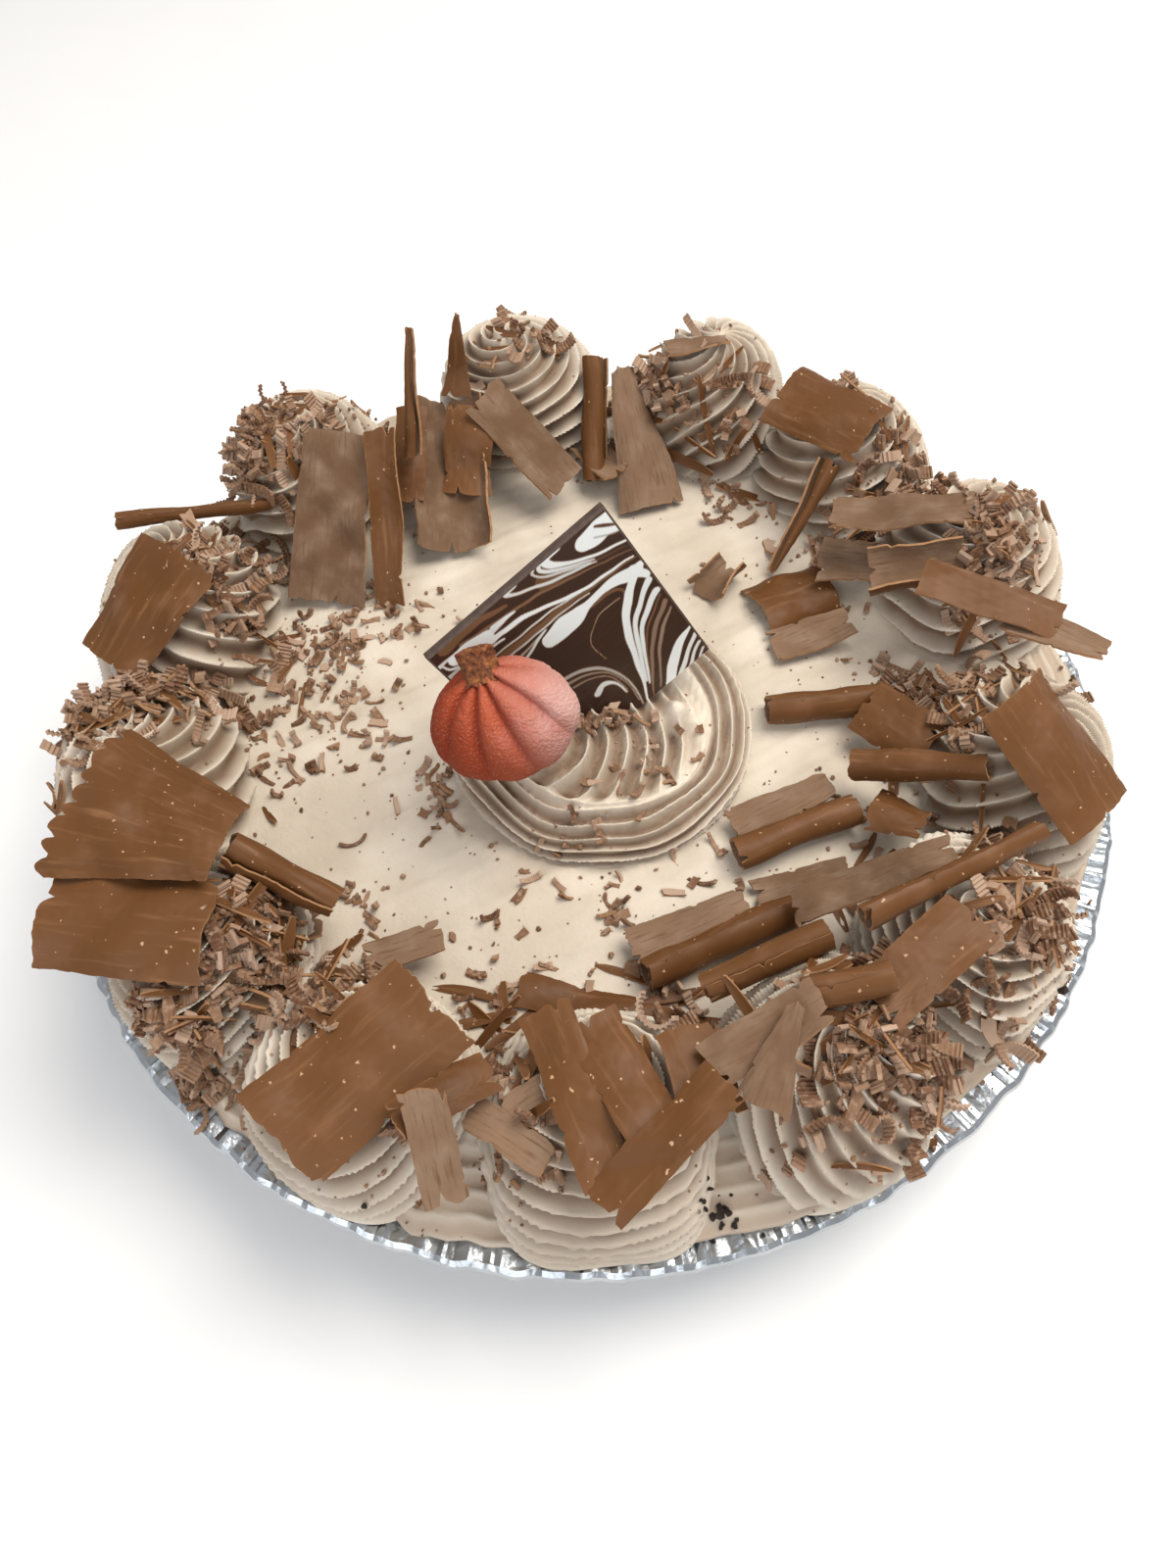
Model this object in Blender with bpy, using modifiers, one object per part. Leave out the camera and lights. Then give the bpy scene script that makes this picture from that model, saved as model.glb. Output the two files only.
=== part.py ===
"""A chocolate cream pie in its foil tin.

A pleated foil pie pan holds a black crumb crust, which is filled with
chocolate cream. Thirteen piped rosettes stand round the edge and a broad,
flatter one stands in the middle, with a tile of marbled chocolate pushed
into it and a moulded sugar pumpkin leaning on its left side. Large curls of
milk chocolate lie on the rosettes, and small flakes are stuck to everything.

The origin is the middle of the tin's underside, +Z is up, and -Y is the
front. Sizes below are in millimetres, and meshes are made in metres.
"""

import math
import random
from collections import namedtuple

import bpy
import bmesh
from mathutils import Matrix, Vector
from mathutils.bvhtree import BVHTree

# ---------------------------------------------------------------- dimensions
MM = 0.001                  # one millimetre in metres
GAP = 0.3                   # clearance kept between touching pieces
MERGE = 0.0005              # corners closer than this are one corner
DOWN = (0.0, 0.0, -1.0)

TIN_RIM_RADIUS = 122.0      # a nine inch foil pan is 244 mm over its rim
TIN_BASE_RADIUS = 91.0
TIN_WALL_RADIUS = 108.0     # where the wall meets the flange
TIN_HEIGHT = 30.0
TIN_THICKNESS = 0.5
TIN_PLEATS = 54
PLEAT_DEPTH = 0.9

CRUST_THICKNESS = 4.5
CRUST_RIM_HEIGHT = 30.4
ROUND_STEPS = 36            # sides of the turned crust and cream

CREAM_LEVEL = 42.0          # top of the smooth cream
CREAM_SHOULDER_RADIUS = 86.0
CREAM_EDGE_RADIUS = 117.0
CREAM_SHOULDER_DROP = 8.0   # how far the cream falls from shoulder to edge
CREAM_LIP_HEIGHT = 31.8     # underside of the cream over the flange

ROSETTE_BASE_GAP = 0.6      # more than GAP, because the shoulder is curved
ROSETTE_UNDERCUT = 0.12     # part of a quarter turn that tucks in at the foot
RIDGE_DEPTH = 2.2           # from a ridge's crest to the bottom of its groove

TILE_WIDTH = 45.5
TILE_HEIGHT = 48.5
TILE_THICKNESS = 2.6
TILE_CENTRE = (-1.7, -4.8, 69.5)
TILE_FACING = (0.39, -0.88, 0.28)
TILE_TURN = 24.0            # the tile stands on one corner, tilted to the right

PUMPKIN_WIDTH = 31.0
PUMPKIN_HEIGHT = 26.0
PUMPKIN_DEPTH = 11.0
PUMPKIN_RIBS = 7
PUMPKIN_CENTRE = (-14.0, -19.0, 66.3)
PUMPKIN_FACING = (-0.22, -0.66, 0.72)
PUMPKIN_TURN = 28.0         # the stem leans to the left

CURL_THICKNESS = 0.6
ROLL_BEND = 250.0           # a curl that bends further than this is a roll
ROLL_PITCH = 1.5            # how much closer to the axis each turn lies

# Each rosette has its angle round the pie, its distance from the middle, its
# half sizes along and across the radius, the height of its peak, how far the
# peak leans inward and sideways, how many ridges start at its foot (negative
# turns the other way), how many ridges its side crosses, and its columns.
Rosette = namedtuple(
    "Rosette", "angle radius half_depth half_width peak lean_in lean_side starts coils columns")

ROSETTES = (
    Rosette(98, 97, 21, 22.0, 72, 2, 2, 3, 5, 14),
    Rosette(69, 97, 21, 20.5, 73, 1, -3, 7, 3, 16),
    Rosette(44, 97, 21, 21.0, 69, 0, 2, 5, 4, 14),
    Rosette(18, 97, 21, 22.0, 71, -2, 0, 4, 4, 14),
    Rosette(-15, 97, 21, 21.0, 68, 1, 1, 7, 3, 16),
    Rosette(-40.5, 98, 21, 19.8, 70, 2, -2, -3, 5, 14),
    Rosette(-64.5, 100, 21, 20.0, 72, 3, 3, -8, 3, 18),
    Rosette(-90.5, 99, 21, 22.6, 70, 5, 3, 1, 6, 16),
    Rosette(-117.5, 100, 21, 21.5, 69, 2, 0, 2, 5, 14),
    Rosette(-142, 98, 21, 19.2, 68, 0, -1, 3, 5, 14),
    Rosette(-168, 97, 21, 23.0, 70, -1, 2, -6, 3, 16),
    Rosette(165, 97, 21, 22.0, 71, 1, -2, -7, 3, 16),
    Rosette(134, 97, 21, 22.0, 72, 0, 2, 4, 4, 14),
)
CENTRE_ROSETTE = Rosette(0, 0, 34, 34.0, 64, 18, -14, 1, 8, 22)
CENTRE_ROSETTE_AT = (3.0, -8.5)

# Each curl has the place of its middle and roughly how high that lies, the
# heading of its long axis from +X, that axis's pitch, its turn about that axis
# (face), its length, its width (a roll's outer diameter), its bend across the
# width in degrees (positive is hollow side up), and the width at its far end as
# a share of the near end. The curls that lie lowest come first in each place.
Curl = namedtuple("Curl", "name x y z heading pitch face length width bend taper")

CURLS = (
    Curl("curl_back_tall_matte", -59, 47, 57, 79, 42, 10, 41, 19, 40, 0.85),
    Curl("curl_back_tall_brown", -46, 46, 58, 88, 46, 0, 42, 8, 60, 1.0),
    Curl("curl_back_gutter", -31, 65, 53, 91, 24, 0, 40, 22, 120, 0.9),
    Curl("curl_back_cone", 16, 73, 55, 103, 33, 0, 36, 18, -70, 0.35),
    Curl("curl_back_upright_roll", 6, 80, 55, 88, 38, 0, 31, 7, 320, 1.0),
    Curl("curl_back_diagonal_matte", -12, 70, 59, -37, -34, 10, 31, 13, 20, 1.0),
    Curl("curl_left_back_roll", -92, 47, 62, 12, -6, 0, 37, 5, 330, 0.8),
    Curl("curl_left_upper_sheet", -96, 13, 75, -127, -24, -2, 29, 23, -40, 0.75),
    Curl("curl_right_inner_roll", 55, -5, 46, 3, 2, 0, 28, 8, 330, 1.0),
    Curl("curl_right_low_roll", 69, -30, 58, -20, 24, 0, 29, 8, 330, 0.75),
    Curl("curl_right_dark_sheet", 68, -14, 54, -46, 5, 25, 18, 13, -30, 1.0),
    Curl("curl_right_outer_sheet", 94, -34, 69, -51, -28, -2, 31, 20, -50, 1.0),
    Curl("curl_right_hook", 35, 34, 44, 46, 8, -20, 12, 16, 170, 0.8),
    Curl("curl_right_warm_wave", 51, 28, 46, 20, 0, 0, 20, 18, -100, 1.0),
    Curl("curl_right_pencil", 54, 46, 54, -130, -42, 0, 30, 6, 330, 0.4),
    Curl("curl_right_scroll", 76, 18, 62, -8, 18, 0, 21, 18, 190, 1.0),
    Curl("curl_right_round_matte", 64, 33, 50, -15, 8, 10, 15, 13, 40, 0.8),
    Curl("curl_right_long_matte", 74, 34, 66, -15, 16, 0, 32, 10, 20, 1.0),
    Curl("curl_back_right_sheet", 60, 65, 70, -38, 1, 10, 26, 20, -60, 1.0),
    Curl("curl_right_bar", 87, 5, 67, -24, -4, 15, 31, 9, 20, 1.0),
    Curl("curl_right_centre_roll", 44, -38, 46, 18, 3, 0, 28, 8, 330, 1.0),
    Curl("curl_front_matte_leaf", 44, -48, 44, 19, 0, 0, 22, 9, 30, 0.5),
    Curl("curl_front_long_roll", 27, -62, 47, 22, 2, 0, 37, 8, 330, 1.0),
    Curl("curl_front_mid_roll", 32, -73, 60, 18, 12, 0, 26, 7, 330, 1.0),
    Curl("curl_front_right_matte", 54, -57, 63, 9, 26, 0, 33, 9, 30, 0.7),
    Curl("curl_front_right_long_roll", 67, -61, 72, 24, 2, 0, 39, 6, 340, 0.85),
    Curl("curl_front_right_bar", 59, -77, 73, 38, 2, 0, 26, 12, -20, 1.0),
    Curl("curl_front_end_scroll", 44, -83, 75, 8, 8, 0, 16, 7, 340, 1.0),
    Curl("curl_front_thin_leaf", 4, -74, 46, -14, 0, 0, 42, 8, -30, 0.5),
    Curl("curl_front_fan_left", -4, -98, 70, -71, 2, 10, 33, 10, -30, 0.9),
    Curl("curl_front_fan_right", 5, -96, 72, -62, 4, -10, 26, 11, -30, 1.0),
    Curl("curl_front_upright_bar", 17, -96, 71, -76, 4, 0, 17, 11, 20, 1.0),
    Curl("curl_front_crossed_bar", 10, -109, 75, -139, -16, 0, 29, 9, -20, 1.0),
    Curl("curl_front_matte_bar", 28, -91, 70, 27, 8, 0, 23, 9, 20, 1.0),
    Curl("curl_front_pointed_leaf", 30, -96, 74, 66, 10, 0, 19, 10, -40, 0.3),
    Curl("curl_front_left_sheet", -42, -92, 69, -140, -9, -10, 36, 21, -25, 1.0),
    Curl("curl_front_left_bar", -26, -97, 69, 32, -18, 0, 20, 8, -20, 1.0),
    Curl("curl_front_left_matte", -28, -106, 70, -78, -38, 0, 21, 8, 30, 1.0),
    Curl("curl_left_roll", -60, -51, 62, -21, -28, 0, 24, 8, 320, 0.9),
    Curl("curl_left_low_sheet", -87, -62, 69, -9, 0, 10, 33, 21, -50, 1.0),
    Curl("curl_left_big_sheet", -84, -43, 75, -22, 0, 0, 34, 36, -60, 0.5),
)
START_ABOVE = 4.0           # a curl is let go this far above its height

# Flakes of chocolate: length, width and thickness, and how many stick to each
# rosette, to the middle one and to the smooth cream.
FLAKE_SIZE = (7.0, 3.0, 1.2)
FLAKES_PER_ROSETTE = 6
FLAKES_ON_CENTRE = 7
FLAKE_SINK = 0.9            # how far down a groove the middle of a flake sits
CREAM_FLAKES = 44
CREAM_FLAKE_SINK = 0.4      # share of a flake's thickness below the surface
SEED = 7

# Looks: sRGB-like base colour, roughness, metallic.
FOIL = ("foil", (0.72, 0.71, 0.69), 0.25, 1.0)
CRUMB = ("black_crumb", (0.02, 0.015, 0.012), 0.8, 0.0)
CREAM = ("chocolate_cream", (0.62, 0.50, 0.40), 0.55, 0.0)
MILK_CHOCOLATE = ("milk_chocolate", (0.21, 0.085, 0.035), 0.4, 0.0)
MARBLED = ("marbled_chocolate", (0.08, 0.04, 0.025), 0.3, 0.0)
SUGAR = ("orange_sugar", (0.45, 0.10, 0.05), 0.7, 0.0)


# -------------------------------------------------------------------- tools
def clear_scene():
    """Remove whatever the file opened with."""
    for obj in list(bpy.data.objects):
        bpy.data.objects.remove(obj, do_unlink=True)


def material(look):
    """The Principled material of a look, made once."""
    name, colour, roughness, metallic = look
    found = bpy.data.materials.get(name)
    if found:
        return found
    made = bpy.data.materials.new(name)
    made.use_nodes = True
    shader = made.node_tree.nodes["Principled BSDF"]
    shader.inputs["Base Color"].default_value = (*colour, 1.0)
    shader.inputs["Roughness"].default_value = roughness
    shader.inputs["Metallic"].default_value = metallic
    made.diffuse_color = (*colour, 1.0)
    return made


def add_object(name, bm, look, collection):
    """Put a bmesh in the scene as a named object."""
    mesh = bpy.data.meshes.new(name)
    bm.to_mesh(mesh)
    bm.free()
    mesh.materials.append(material(look))
    obj = bpy.data.objects.new(name, mesh)
    collection.objects.link(obj)
    return obj


def grid_bmesh(columns, rows, place):
    """A grid of quads whose corner (column, row) goes to place(column, row) in mm."""
    bm = bmesh.new()
    bmesh.ops.create_grid(bm, x_segments=columns, y_segments=rows, size=0.5)
    for vert in bm.verts:
        column = round((vert.co.x + 0.5) * columns)
        row = round((vert.co.y + 0.5) * rows)
        vert.co = Vector(place(column, row)) * MM
    bmesh.ops.remove_doubles(bm, verts=bm.verts, dist=MERGE * MM)
    return bm


def evaluated_mesh(obj):
    """A new mesh with the object's modifiers applied."""
    depsgraph = bpy.context.evaluated_depsgraph_get()
    return bpy.data.meshes.new_from_object(obj.evaluated_get(depsgraph))


def bake(obj):
    """Apply an object's modifiers for good."""
    mesh = evaluated_mesh(obj)
    obj.modifiers.clear()
    obj.data = mesh


def fuse(target, pieces):
    """Join the pieces to the target with one union and remove them."""
    tools = bpy.data.collections.new(target.name + "_flakes")
    for piece in pieces:
        tools.objects.link(piece)
    union = target.modifiers.new("flakes", "BOOLEAN")
    union.operation = "UNION"
    union.operand_type = "COLLECTION"
    union.collection = tools
    union.solver = "EXACT"
    bake(target)
    for piece in pieces:
        bpy.data.objects.remove(piece, do_unlink=True)
    bpy.data.collections.remove(tools)


def carve(target, cutter):
    """Cut the cutter's shape out of the target and remove the cutter."""
    cut = target.modifiers.new("slot", "BOOLEAN")
    cut.operation = "DIFFERENCE"
    cut.object = cutter
    cut.solver = "EXACT"
    bake(target)
    bpy.data.objects.remove(cutter, do_unlink=True)


def frame_facing(facing, turn=0.0):
    """A rotation that takes +Z to the facing direction and +Y upward, then turns it."""
    normal = Vector(facing).normalized()
    side = Vector((0, 0, 1)).cross(normal).normalized()
    upward = normal.cross(side)
    basis = Matrix((side, upward, normal)).transposed()
    return basis @ Matrix.Rotation(math.radians(turn), 3, "Z")


class Clearance:
    """Keeps the surfaces already placed, and finds where a new piece comes to rest."""

    def __init__(self):
        self.trees = []

    def add(self, obj):
        corners, faces = surface_of(obj)
        self.trees.append((*box_of(corners), BVHTree.FromPolygons(corners, faces)))

    def near(self, corners, margin):
        """The trees of the placed pieces whose boxes, seen from above, meet the piece's."""
        low, high = box_of(corners)
        return [tree for other_low, other_high, tree in self.trees
                if all(low[axis] - margin < other_high[axis]
                       and other_low[axis] < high[axis] + margin for axis in (0, 1))]

    def distance_to_rest(self, corners, faces, back, step=1.0, finest=0.05, reach=40.0):
        """How far to move along `back` until the piece just stays clear of the others.

        A piece that is clear to begin with comes forward until it is held up.
        """
        trees = self.near(corners, reach * math.hypot(back.x, back.y))

        def touches(distance):
            for slack in (0.0, -GAP, GAP):
                shift = back * (distance + slack)
                moved = BVHTree.FromPolygons([corner + shift for corner in corners], faces)
                if any(moved.overlap(tree) for tree in trees):
                    return True
            return False

        distance = 0.0
        if touches(distance):
            while touches(distance) and distance < reach:
                distance += step
        else:
            while not touches(distance - step) and distance > -reach:
                distance -= step
        while step > finest:
            step /= 2
            if not touches(distance - step):
                distance -= step
        return distance

    def settle(self, obj, direction):
        """Bring the piece along `direction` until it rests."""
        corners, faces = surface_of(obj)
        back = -Vector(direction).normalized() * MM
        move = back * self.distance_to_rest(corners, faces, back)
        obj.data.transform(Matrix.Translation(move))
        self.add(obj)


def surface_of(obj):
    """The corners and triangles of an object with its modifiers applied."""
    mesh = evaluated_mesh(obj)
    mesh.calc_loop_triangles()
    corners = [vert.co.copy() for vert in mesh.vertices]
    faces = [tuple(face.vertices) for face in mesh.loop_triangles]
    bpy.data.meshes.remove(mesh)
    return corners, faces


def box_of(corners):
    """The lowest and highest corner of the box round some points."""
    low = Vector([min(corner[axis] for corner in corners) for axis in range(3)])
    high = Vector([max(corner[axis] for corner in corners) for axis in range(3)])
    return low, high


# --------------------------------------------------------------- tin and crust
def make_tin(collection):
    """The foil pan: a flat base, a pleated wall, and a flange with its edge turned down."""
    columns = 2 * TIN_PLEATS
    # radius, height, and how much of the pleat shows there
    stations = (
        (0.0, 0.0, 0.0),
        (TIN_BASE_RADIUS, 0.0, 0.0),
        (TIN_WALL_RADIUS, TIN_HEIGHT - 2.0, 1.0),
        (TIN_RIM_RADIUS - 1.0, TIN_HEIGHT, 0.7),
        (TIN_RIM_RADIUS, TIN_HEIGHT - 2.2, 0.3),
    )

    def place(column, row):
        angle = 2 * math.pi * column / columns
        radius, height, pleat = stations[row]
        offset = PLEAT_DEPTH * pleat * (1 if column % 2 else -1)
        if row >= 3:
            height += offset
            offset = 0.0
        radius += offset
        return radius * math.cos(angle), radius * math.sin(angle), height

    bm = grid_bmesh(columns, len(stations) - 1, place)
    tin = add_object("foil_tin", bm, FOIL, collection)
    foil = tin.modifiers.new("foil", "SOLIDIFY")
    foil.thickness = TIN_THICKNESS * MM
    foil.offset = -1.0
    return tin


def turned(name, profile, look, collection):
    """A solid turned from a profile of (radius, height) pairs, top to bottom."""
    bm = bmesh.new()
    corners = [bm.verts.new((radius * MM, 0.0, height * MM)) for radius, height in profile]
    for first, second in zip(corners, corners[1:]):
        bm.edges.new((first, second))
    obj = add_object(name, bm, look, collection)
    lathe = obj.modifiers.new("lathe", "SCREW")
    lathe.steps = ROUND_STEPS
    lathe.render_steps = ROUND_STEPS
    lathe.use_merge_vertices = True
    lathe.merge_threshold = 1e-5
    lathe.use_smooth_shade = False
    bake(obj)
    return obj


def make_crust(collection):
    """The black crumb crust: a bowl of even thickness pressed into the pan."""
    slack = TIN_THICKNESS + PLEAT_DEPTH + 2 * GAP
    foot = TIN_BASE_RADIUS - slack
    lip = TIN_WALL_RADIUS - slack
    floor = TIN_THICKNESS + GAP
    profile = (
        (0.0, floor + CRUST_THICKNESS),
        (foot - CRUST_THICKNESS, floor + CRUST_THICKNESS),
        (lip - CRUST_THICKNESS, CRUST_RIM_HEIGHT - 0.6),
        (lip - CRUST_THICKNESS / 2, CRUST_RIM_HEIGHT),
        (lip, CRUST_RIM_HEIGHT - 2.4),
        (foot, floor),
        (0.0, floor),
    )
    return turned("crumb_crust", profile, CRUMB, collection)


def cream_height(radius):
    """The height of the cream's top: level, then a rounded shoulder."""
    past = max(0.0, radius - CREAM_SHOULDER_RADIUS)
    share = past / (CREAM_EDGE_RADIUS - CREAM_SHOULDER_RADIUS)
    return CREAM_LEVEL - CREAM_SHOULDER_DROP * share ** 2


def make_cream(collection, flakes):
    """The filling, from the crust's floor up over its rim, with flakes stuck on top."""
    slack = TIN_THICKNESS + PLEAT_DEPTH + 2 * GAP
    wall = CRUST_THICKNESS + 2 * GAP
    foot = TIN_BASE_RADIUS - slack - wall
    lip = TIN_WALL_RADIUS - slack - wall
    floor = TIN_THICKNESS + GAP + CRUST_THICKNESS + GAP
    span = CREAM_EDGE_RADIUS - CREAM_SHOULDER_RADIUS
    top = [(0.0, CREAM_LEVEL)]
    for share in (0.0, 0.35, 0.7, 1.0):
        radius = CREAM_SHOULDER_RADIUS + span * share
        top.append((radius, cream_height(radius)))
    under = [
        (CREAM_EDGE_RADIUS + 0.6, CREAM_LIP_HEIGHT + 0.8),
        (CREAM_EDGE_RADIUS - 1.0, CREAM_LIP_HEIGHT),
        (lip, CREAM_LIP_HEIGHT - 0.6),
        (foot, floor),
        (0.0, floor),
    ]
    cream = turned("cream_filling", top + under, CREAM, collection)
    fuse(cream, flakes)
    return cream


# ------------------------------------------------------------------- rosettes
def rosette_profile(share):
    """How wide and how high a rosette is at a share of the way up its side."""
    lowest = -ROSETTE_UNDERCUT * math.pi / 2
    angle = lowest + (math.pi / 2 - lowest) * share
    across = max(0.0, math.cos(angle)) ** 0.9
    floor = math.sin(lowest)
    up = (math.sin(angle) - floor) / (1.0 - floor)
    return across, up


def rosette_point(rosette, at, heading, angle, share, groove):
    """A point of a rosette's surface: `angle` round it, `share` up it, `groove` deep."""
    across, up = rosette_profile(share)
    fade = min(1.0, 8.0 * share, 4.0 * (1.0 - share))
    depth = RIDGE_DEPTH * groove * fade
    along = (rosette.half_depth * across - depth * across) * math.cos(angle)
    aside = (rosette.half_width * across - depth * across) * math.sin(angle)
    foot = base_point(rosette, at, heading, angle, across)
    height = foot.z + (rosette.peak - foot.z) * up - depth * up
    along -= rosette.lean_in * up * up
    aside += rosette.lean_side * up * up
    spot = Vector(at) + Matrix.Rotation(heading, 2) @ Vector((along, aside))
    return spot.x, spot.y, height


def base_point(rosette, at, heading, angle, across):
    """A point of a rosette's underside, just above the cream."""
    local = Vector((rosette.half_depth * across * math.cos(angle),
                    rosette.half_width * across * math.sin(angle)))
    spot = Vector(at) + Matrix.Rotation(heading, 2) @ local
    return Vector((spot.x, spot.y, cream_height(spot.length) + ROSETTE_BASE_GAP))


def make_rosette(name, rosette, at, heading, collection):
    """A piped rosette whose rows of facets follow the star nozzle's ridges."""
    columns = rosette.columns
    crossings = 2 * rosette.coils
    shift = 2 * abs(rosette.starts)
    turn = 1 if rosette.starts > 0 else -1
    widest = rosette_profile(0.0)[0]

    def place(column, row):
        angle = 2 * math.pi * column / columns
        if row < 2:
            return base_point(rosette, at, heading, angle, 0.5 * widest * row)
        ridge = row - 2
        lag = shift * column / columns
        if turn > 0:
            share = (ridge - shift + lag) / crossings
        else:
            share = (ridge - lag) / crossings
        share = min(1.0, max(0.0, share))
        return rosette_point(rosette, at, heading, angle, share, ridge % 2)

    rows = 2 + crossings + shift
    bm = grid_bmesh(columns, rows, place)
    return add_object(name, bm, CREAM, collection)


def ring_place(rosette):
    """The middle and the heading of a rosette in the ring."""
    heading = math.radians(rosette.angle)
    at = (rosette.radius * math.cos(heading), rosette.radius * math.sin(heading))
    return at, heading


# --------------------------------------------------------------------- flakes
def flake(name, centre, rotation, size, collection):
    """One loose flake: a thin block with its far end narrowed."""
    bm = bmesh.new()
    bmesh.ops.create_cube(bm, size=1.0)
    for vert in bm.verts:
        narrow = 0.6 if vert.co.x > 0 else 1.0
        local = Vector((vert.co.x * size[0], vert.co.y * size[1] * narrow,
                        vert.co.z * size[2]))
        vert.co = (Vector(centre) + rotation @ local) * MM
    return add_object(name, bm, MILK_CHOCOLATE, collection)


def flake_size(draw, scale=1.0):
    """A flake's length, width and thickness, each unevenly drawn."""
    length, width, thickness = FLAKE_SIZE
    return (length * scale * draw.uniform(0.7, 1.3),
            width * scale * draw.uniform(0.7, 1.3),
            thickness)


def rosette_flakes(rosette, at, heading, count, draw, collection):
    """Flakes half sunk in the upper side of a rosette, lying every way."""
    flakes = []
    for number in range(count):
        angle = 2 * math.pi * (number + draw.uniform(0.1, 0.9)) / count
        # beside its neighbours a rosette has flakes only near its top
        share = draw.uniform(0.42 + 0.26 * abs(math.sin(angle)), 0.84)
        spot = Vector(rosette_point(rosette, at, heading, angle, share, FLAKE_SINK))
        outward = Vector(rosette_point(rosette, at, heading, angle, share - 0.1, FLAKE_SINK)) - spot
        outward.normalize()
        normal = Vector((-outward.z * outward.x, -outward.z * outward.y,
                         outward.x ** 2 + outward.y ** 2))
        rotation = frame_facing(normal, draw.uniform(0, 180))
        rotation = rotation @ Matrix.Rotation(math.radians(draw.uniform(15, 35)), 3, "Y")
        flakes.append(flake("flake", spot, rotation, flake_size(draw), collection))
    return flakes


def cream_flakes(draw, collection):
    """Flakes on the smooth cream, thickest at the left and behind the pumpkin."""
    # centre, spread and share of each drift of flakes
    drifts = (
        ((-50.0, 24.0), 13.0, 0.42),
        ((-34.0, -24.0), 7.0, 0.20),
        ((-40.0, -12.0), 22.0, 0.24),
        ((10.0, -57.0), 10.0, 0.14),
    )
    clear_of_centre = CENTRE_ROSETTE.half_width + 6.0
    clear_of_ring = ROSETTES[0].radius - ROSETTES[0].half_depth - 6.0
    centre = Vector(CENTRE_ROSETTE_AT)
    taken = []
    flakes = []
    for (x, y), spread, share in drifts:
        wanted = len(flakes) + round(CREAM_FLAKES * share)
        while len(flakes) < wanted:
            spot = Vector((draw.gauss(x, spread), draw.gauss(y, spread)))
            size = flake_size(draw, 0.75)
            free = all((spot - other).length > 5.5 for other in taken)
            inside = spot.length < clear_of_ring and (spot - centre).length > clear_of_centre
            if not (free and inside):
                continue
            taken.append(spot)
            height = CREAM_LEVEL + size[2] * (0.5 - CREAM_FLAKE_SINK)
            rotation = Matrix.Rotation(math.radians(draw.uniform(0, 180)), 3, "Z")
            flakes.append(flake("flake", (spot.x, spot.y, height), rotation, size, collection))
    return flakes


# ----------------------------------------------------------- tile and pumpkin
def tile_bmesh(grow):
    """The tile of marbled chocolate, grown all round."""
    side = TILE_WIDTH / 2 + grow
    top = TILE_HEIGHT / 2 + grow
    outline = ((side, -top), (side, top), (-side, top), (-side, -top))
    bm = bmesh.new()
    rotation = frame_facing(TILE_FACING, TILE_TURN)
    depth = TILE_THICKNESS / 2 + grow
    corners = [bm.verts.new((Vector(TILE_CENTRE) + rotation @ Vector((x, y, -depth))) * MM)
               for x, y in outline]
    back = bm.faces.new(corners)
    moved = bmesh.ops.extrude_face_region(bm, geom=[back])["geom"]
    raised = [item for item in moved if isinstance(item, bmesh.types.BMVert)]
    bmesh.ops.translate(bm, verts=raised, vec=rotation @ Vector((0, 0, 2 * depth)) * MM)
    bmesh.ops.recalc_face_normals(bm, faces=bm.faces)
    return bm


def tile_slot(collection):
    """The cutter for the slot that the tile stands in."""
    return add_object("slot", tile_bmesh(GAP), MARBLED, collection)


def make_pumpkin(collection):
    """The sugar pumpkin: a flat-backed dome with ribs, and a stub of stem."""
    columns = 4 * PUMPKIN_RIBS
    rows = 6
    rotation = frame_facing(PUMPKIN_FACING, PUMPKIN_TURN)

    def place(column, row):
        angle = 2 * math.pi * column / columns
        if row == 0:
            across, up = 0.0, 0.0
        else:
            rise = (row - 1) / (rows - 1) * math.pi / 2
            across, up = math.cos(rise), math.sin(rise)
        x = PUMPKIN_WIDTH / 2 * across * math.cos(angle)
        y = PUMPKIN_HEIGHT / 2 * across * math.sin(angle)
        dent = rib_dent(x / (PUMPKIN_WIDTH / 2), y / (PUMPKIN_HEIGHT / 2))
        z = PUMPKIN_DEPTH * up * (1.0 - 0.16 * dent)
        return Vector(PUMPKIN_CENTRE) + rotation @ Vector((x, y, z))

    bm = grid_bmesh(columns, rows, place)
    pumpkin = add_object("sugar_pumpkin", bm, SUGAR, collection)
    stem_bm = bmesh.new()
    bmesh.ops.create_cone(stem_bm, cap_ends=True, segments=8, radius1=4.2 * MM,
                          radius2=3.4 * MM, depth=9.0 * MM)
    lean = rotation @ Matrix.Rotation(math.radians(-90), 3, "X")
    top = Vector(PUMPKIN_CENTRE) + rotation @ Vector((0, PUMPKIN_HEIGHT / 2 + 1.0, 4.4))
    stem_bm.transform(Matrix.Translation(top * MM) @ lean.to_4x4())
    stem = add_object("stem", stem_bm, SUGAR, collection)
    fuse(pumpkin, [stem])
    return pumpkin


def rib_dent(x, y):
    """How deep the grooves between the ribs are: 1 in a groove, 0 on a rib."""
    # the grooves run from the stem to the foot and bow outward at mid height
    bow = math.sqrt(max(0.05, 1.0 - y * y))
    phase = PUMPKIN_RIBS * 0.5 * math.asin(max(-1.0, min(1.0, x / bow))) / (math.pi / 2)
    return 1.0 - abs(math.cos(math.pi * phase))


# ---------------------------------------------------------------------- curls
def curl_section(curl, width, share):
    """The (side, height) of a point across a curl, share 0 to 1 from edge to edge."""
    bend = math.radians(curl.bend)
    if curl.bend > ROLL_BEND:
        angle = bend * share
        radius = width / 2 - ROLL_PITCH * angle / (2 * math.pi)
        return radius * math.cos(angle), radius * math.sin(angle)
    angle = bend * (share - 0.5)
    radius = width / bend
    return radius * math.sin(angle), radius * (1.0 - math.cos(angle))


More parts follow.
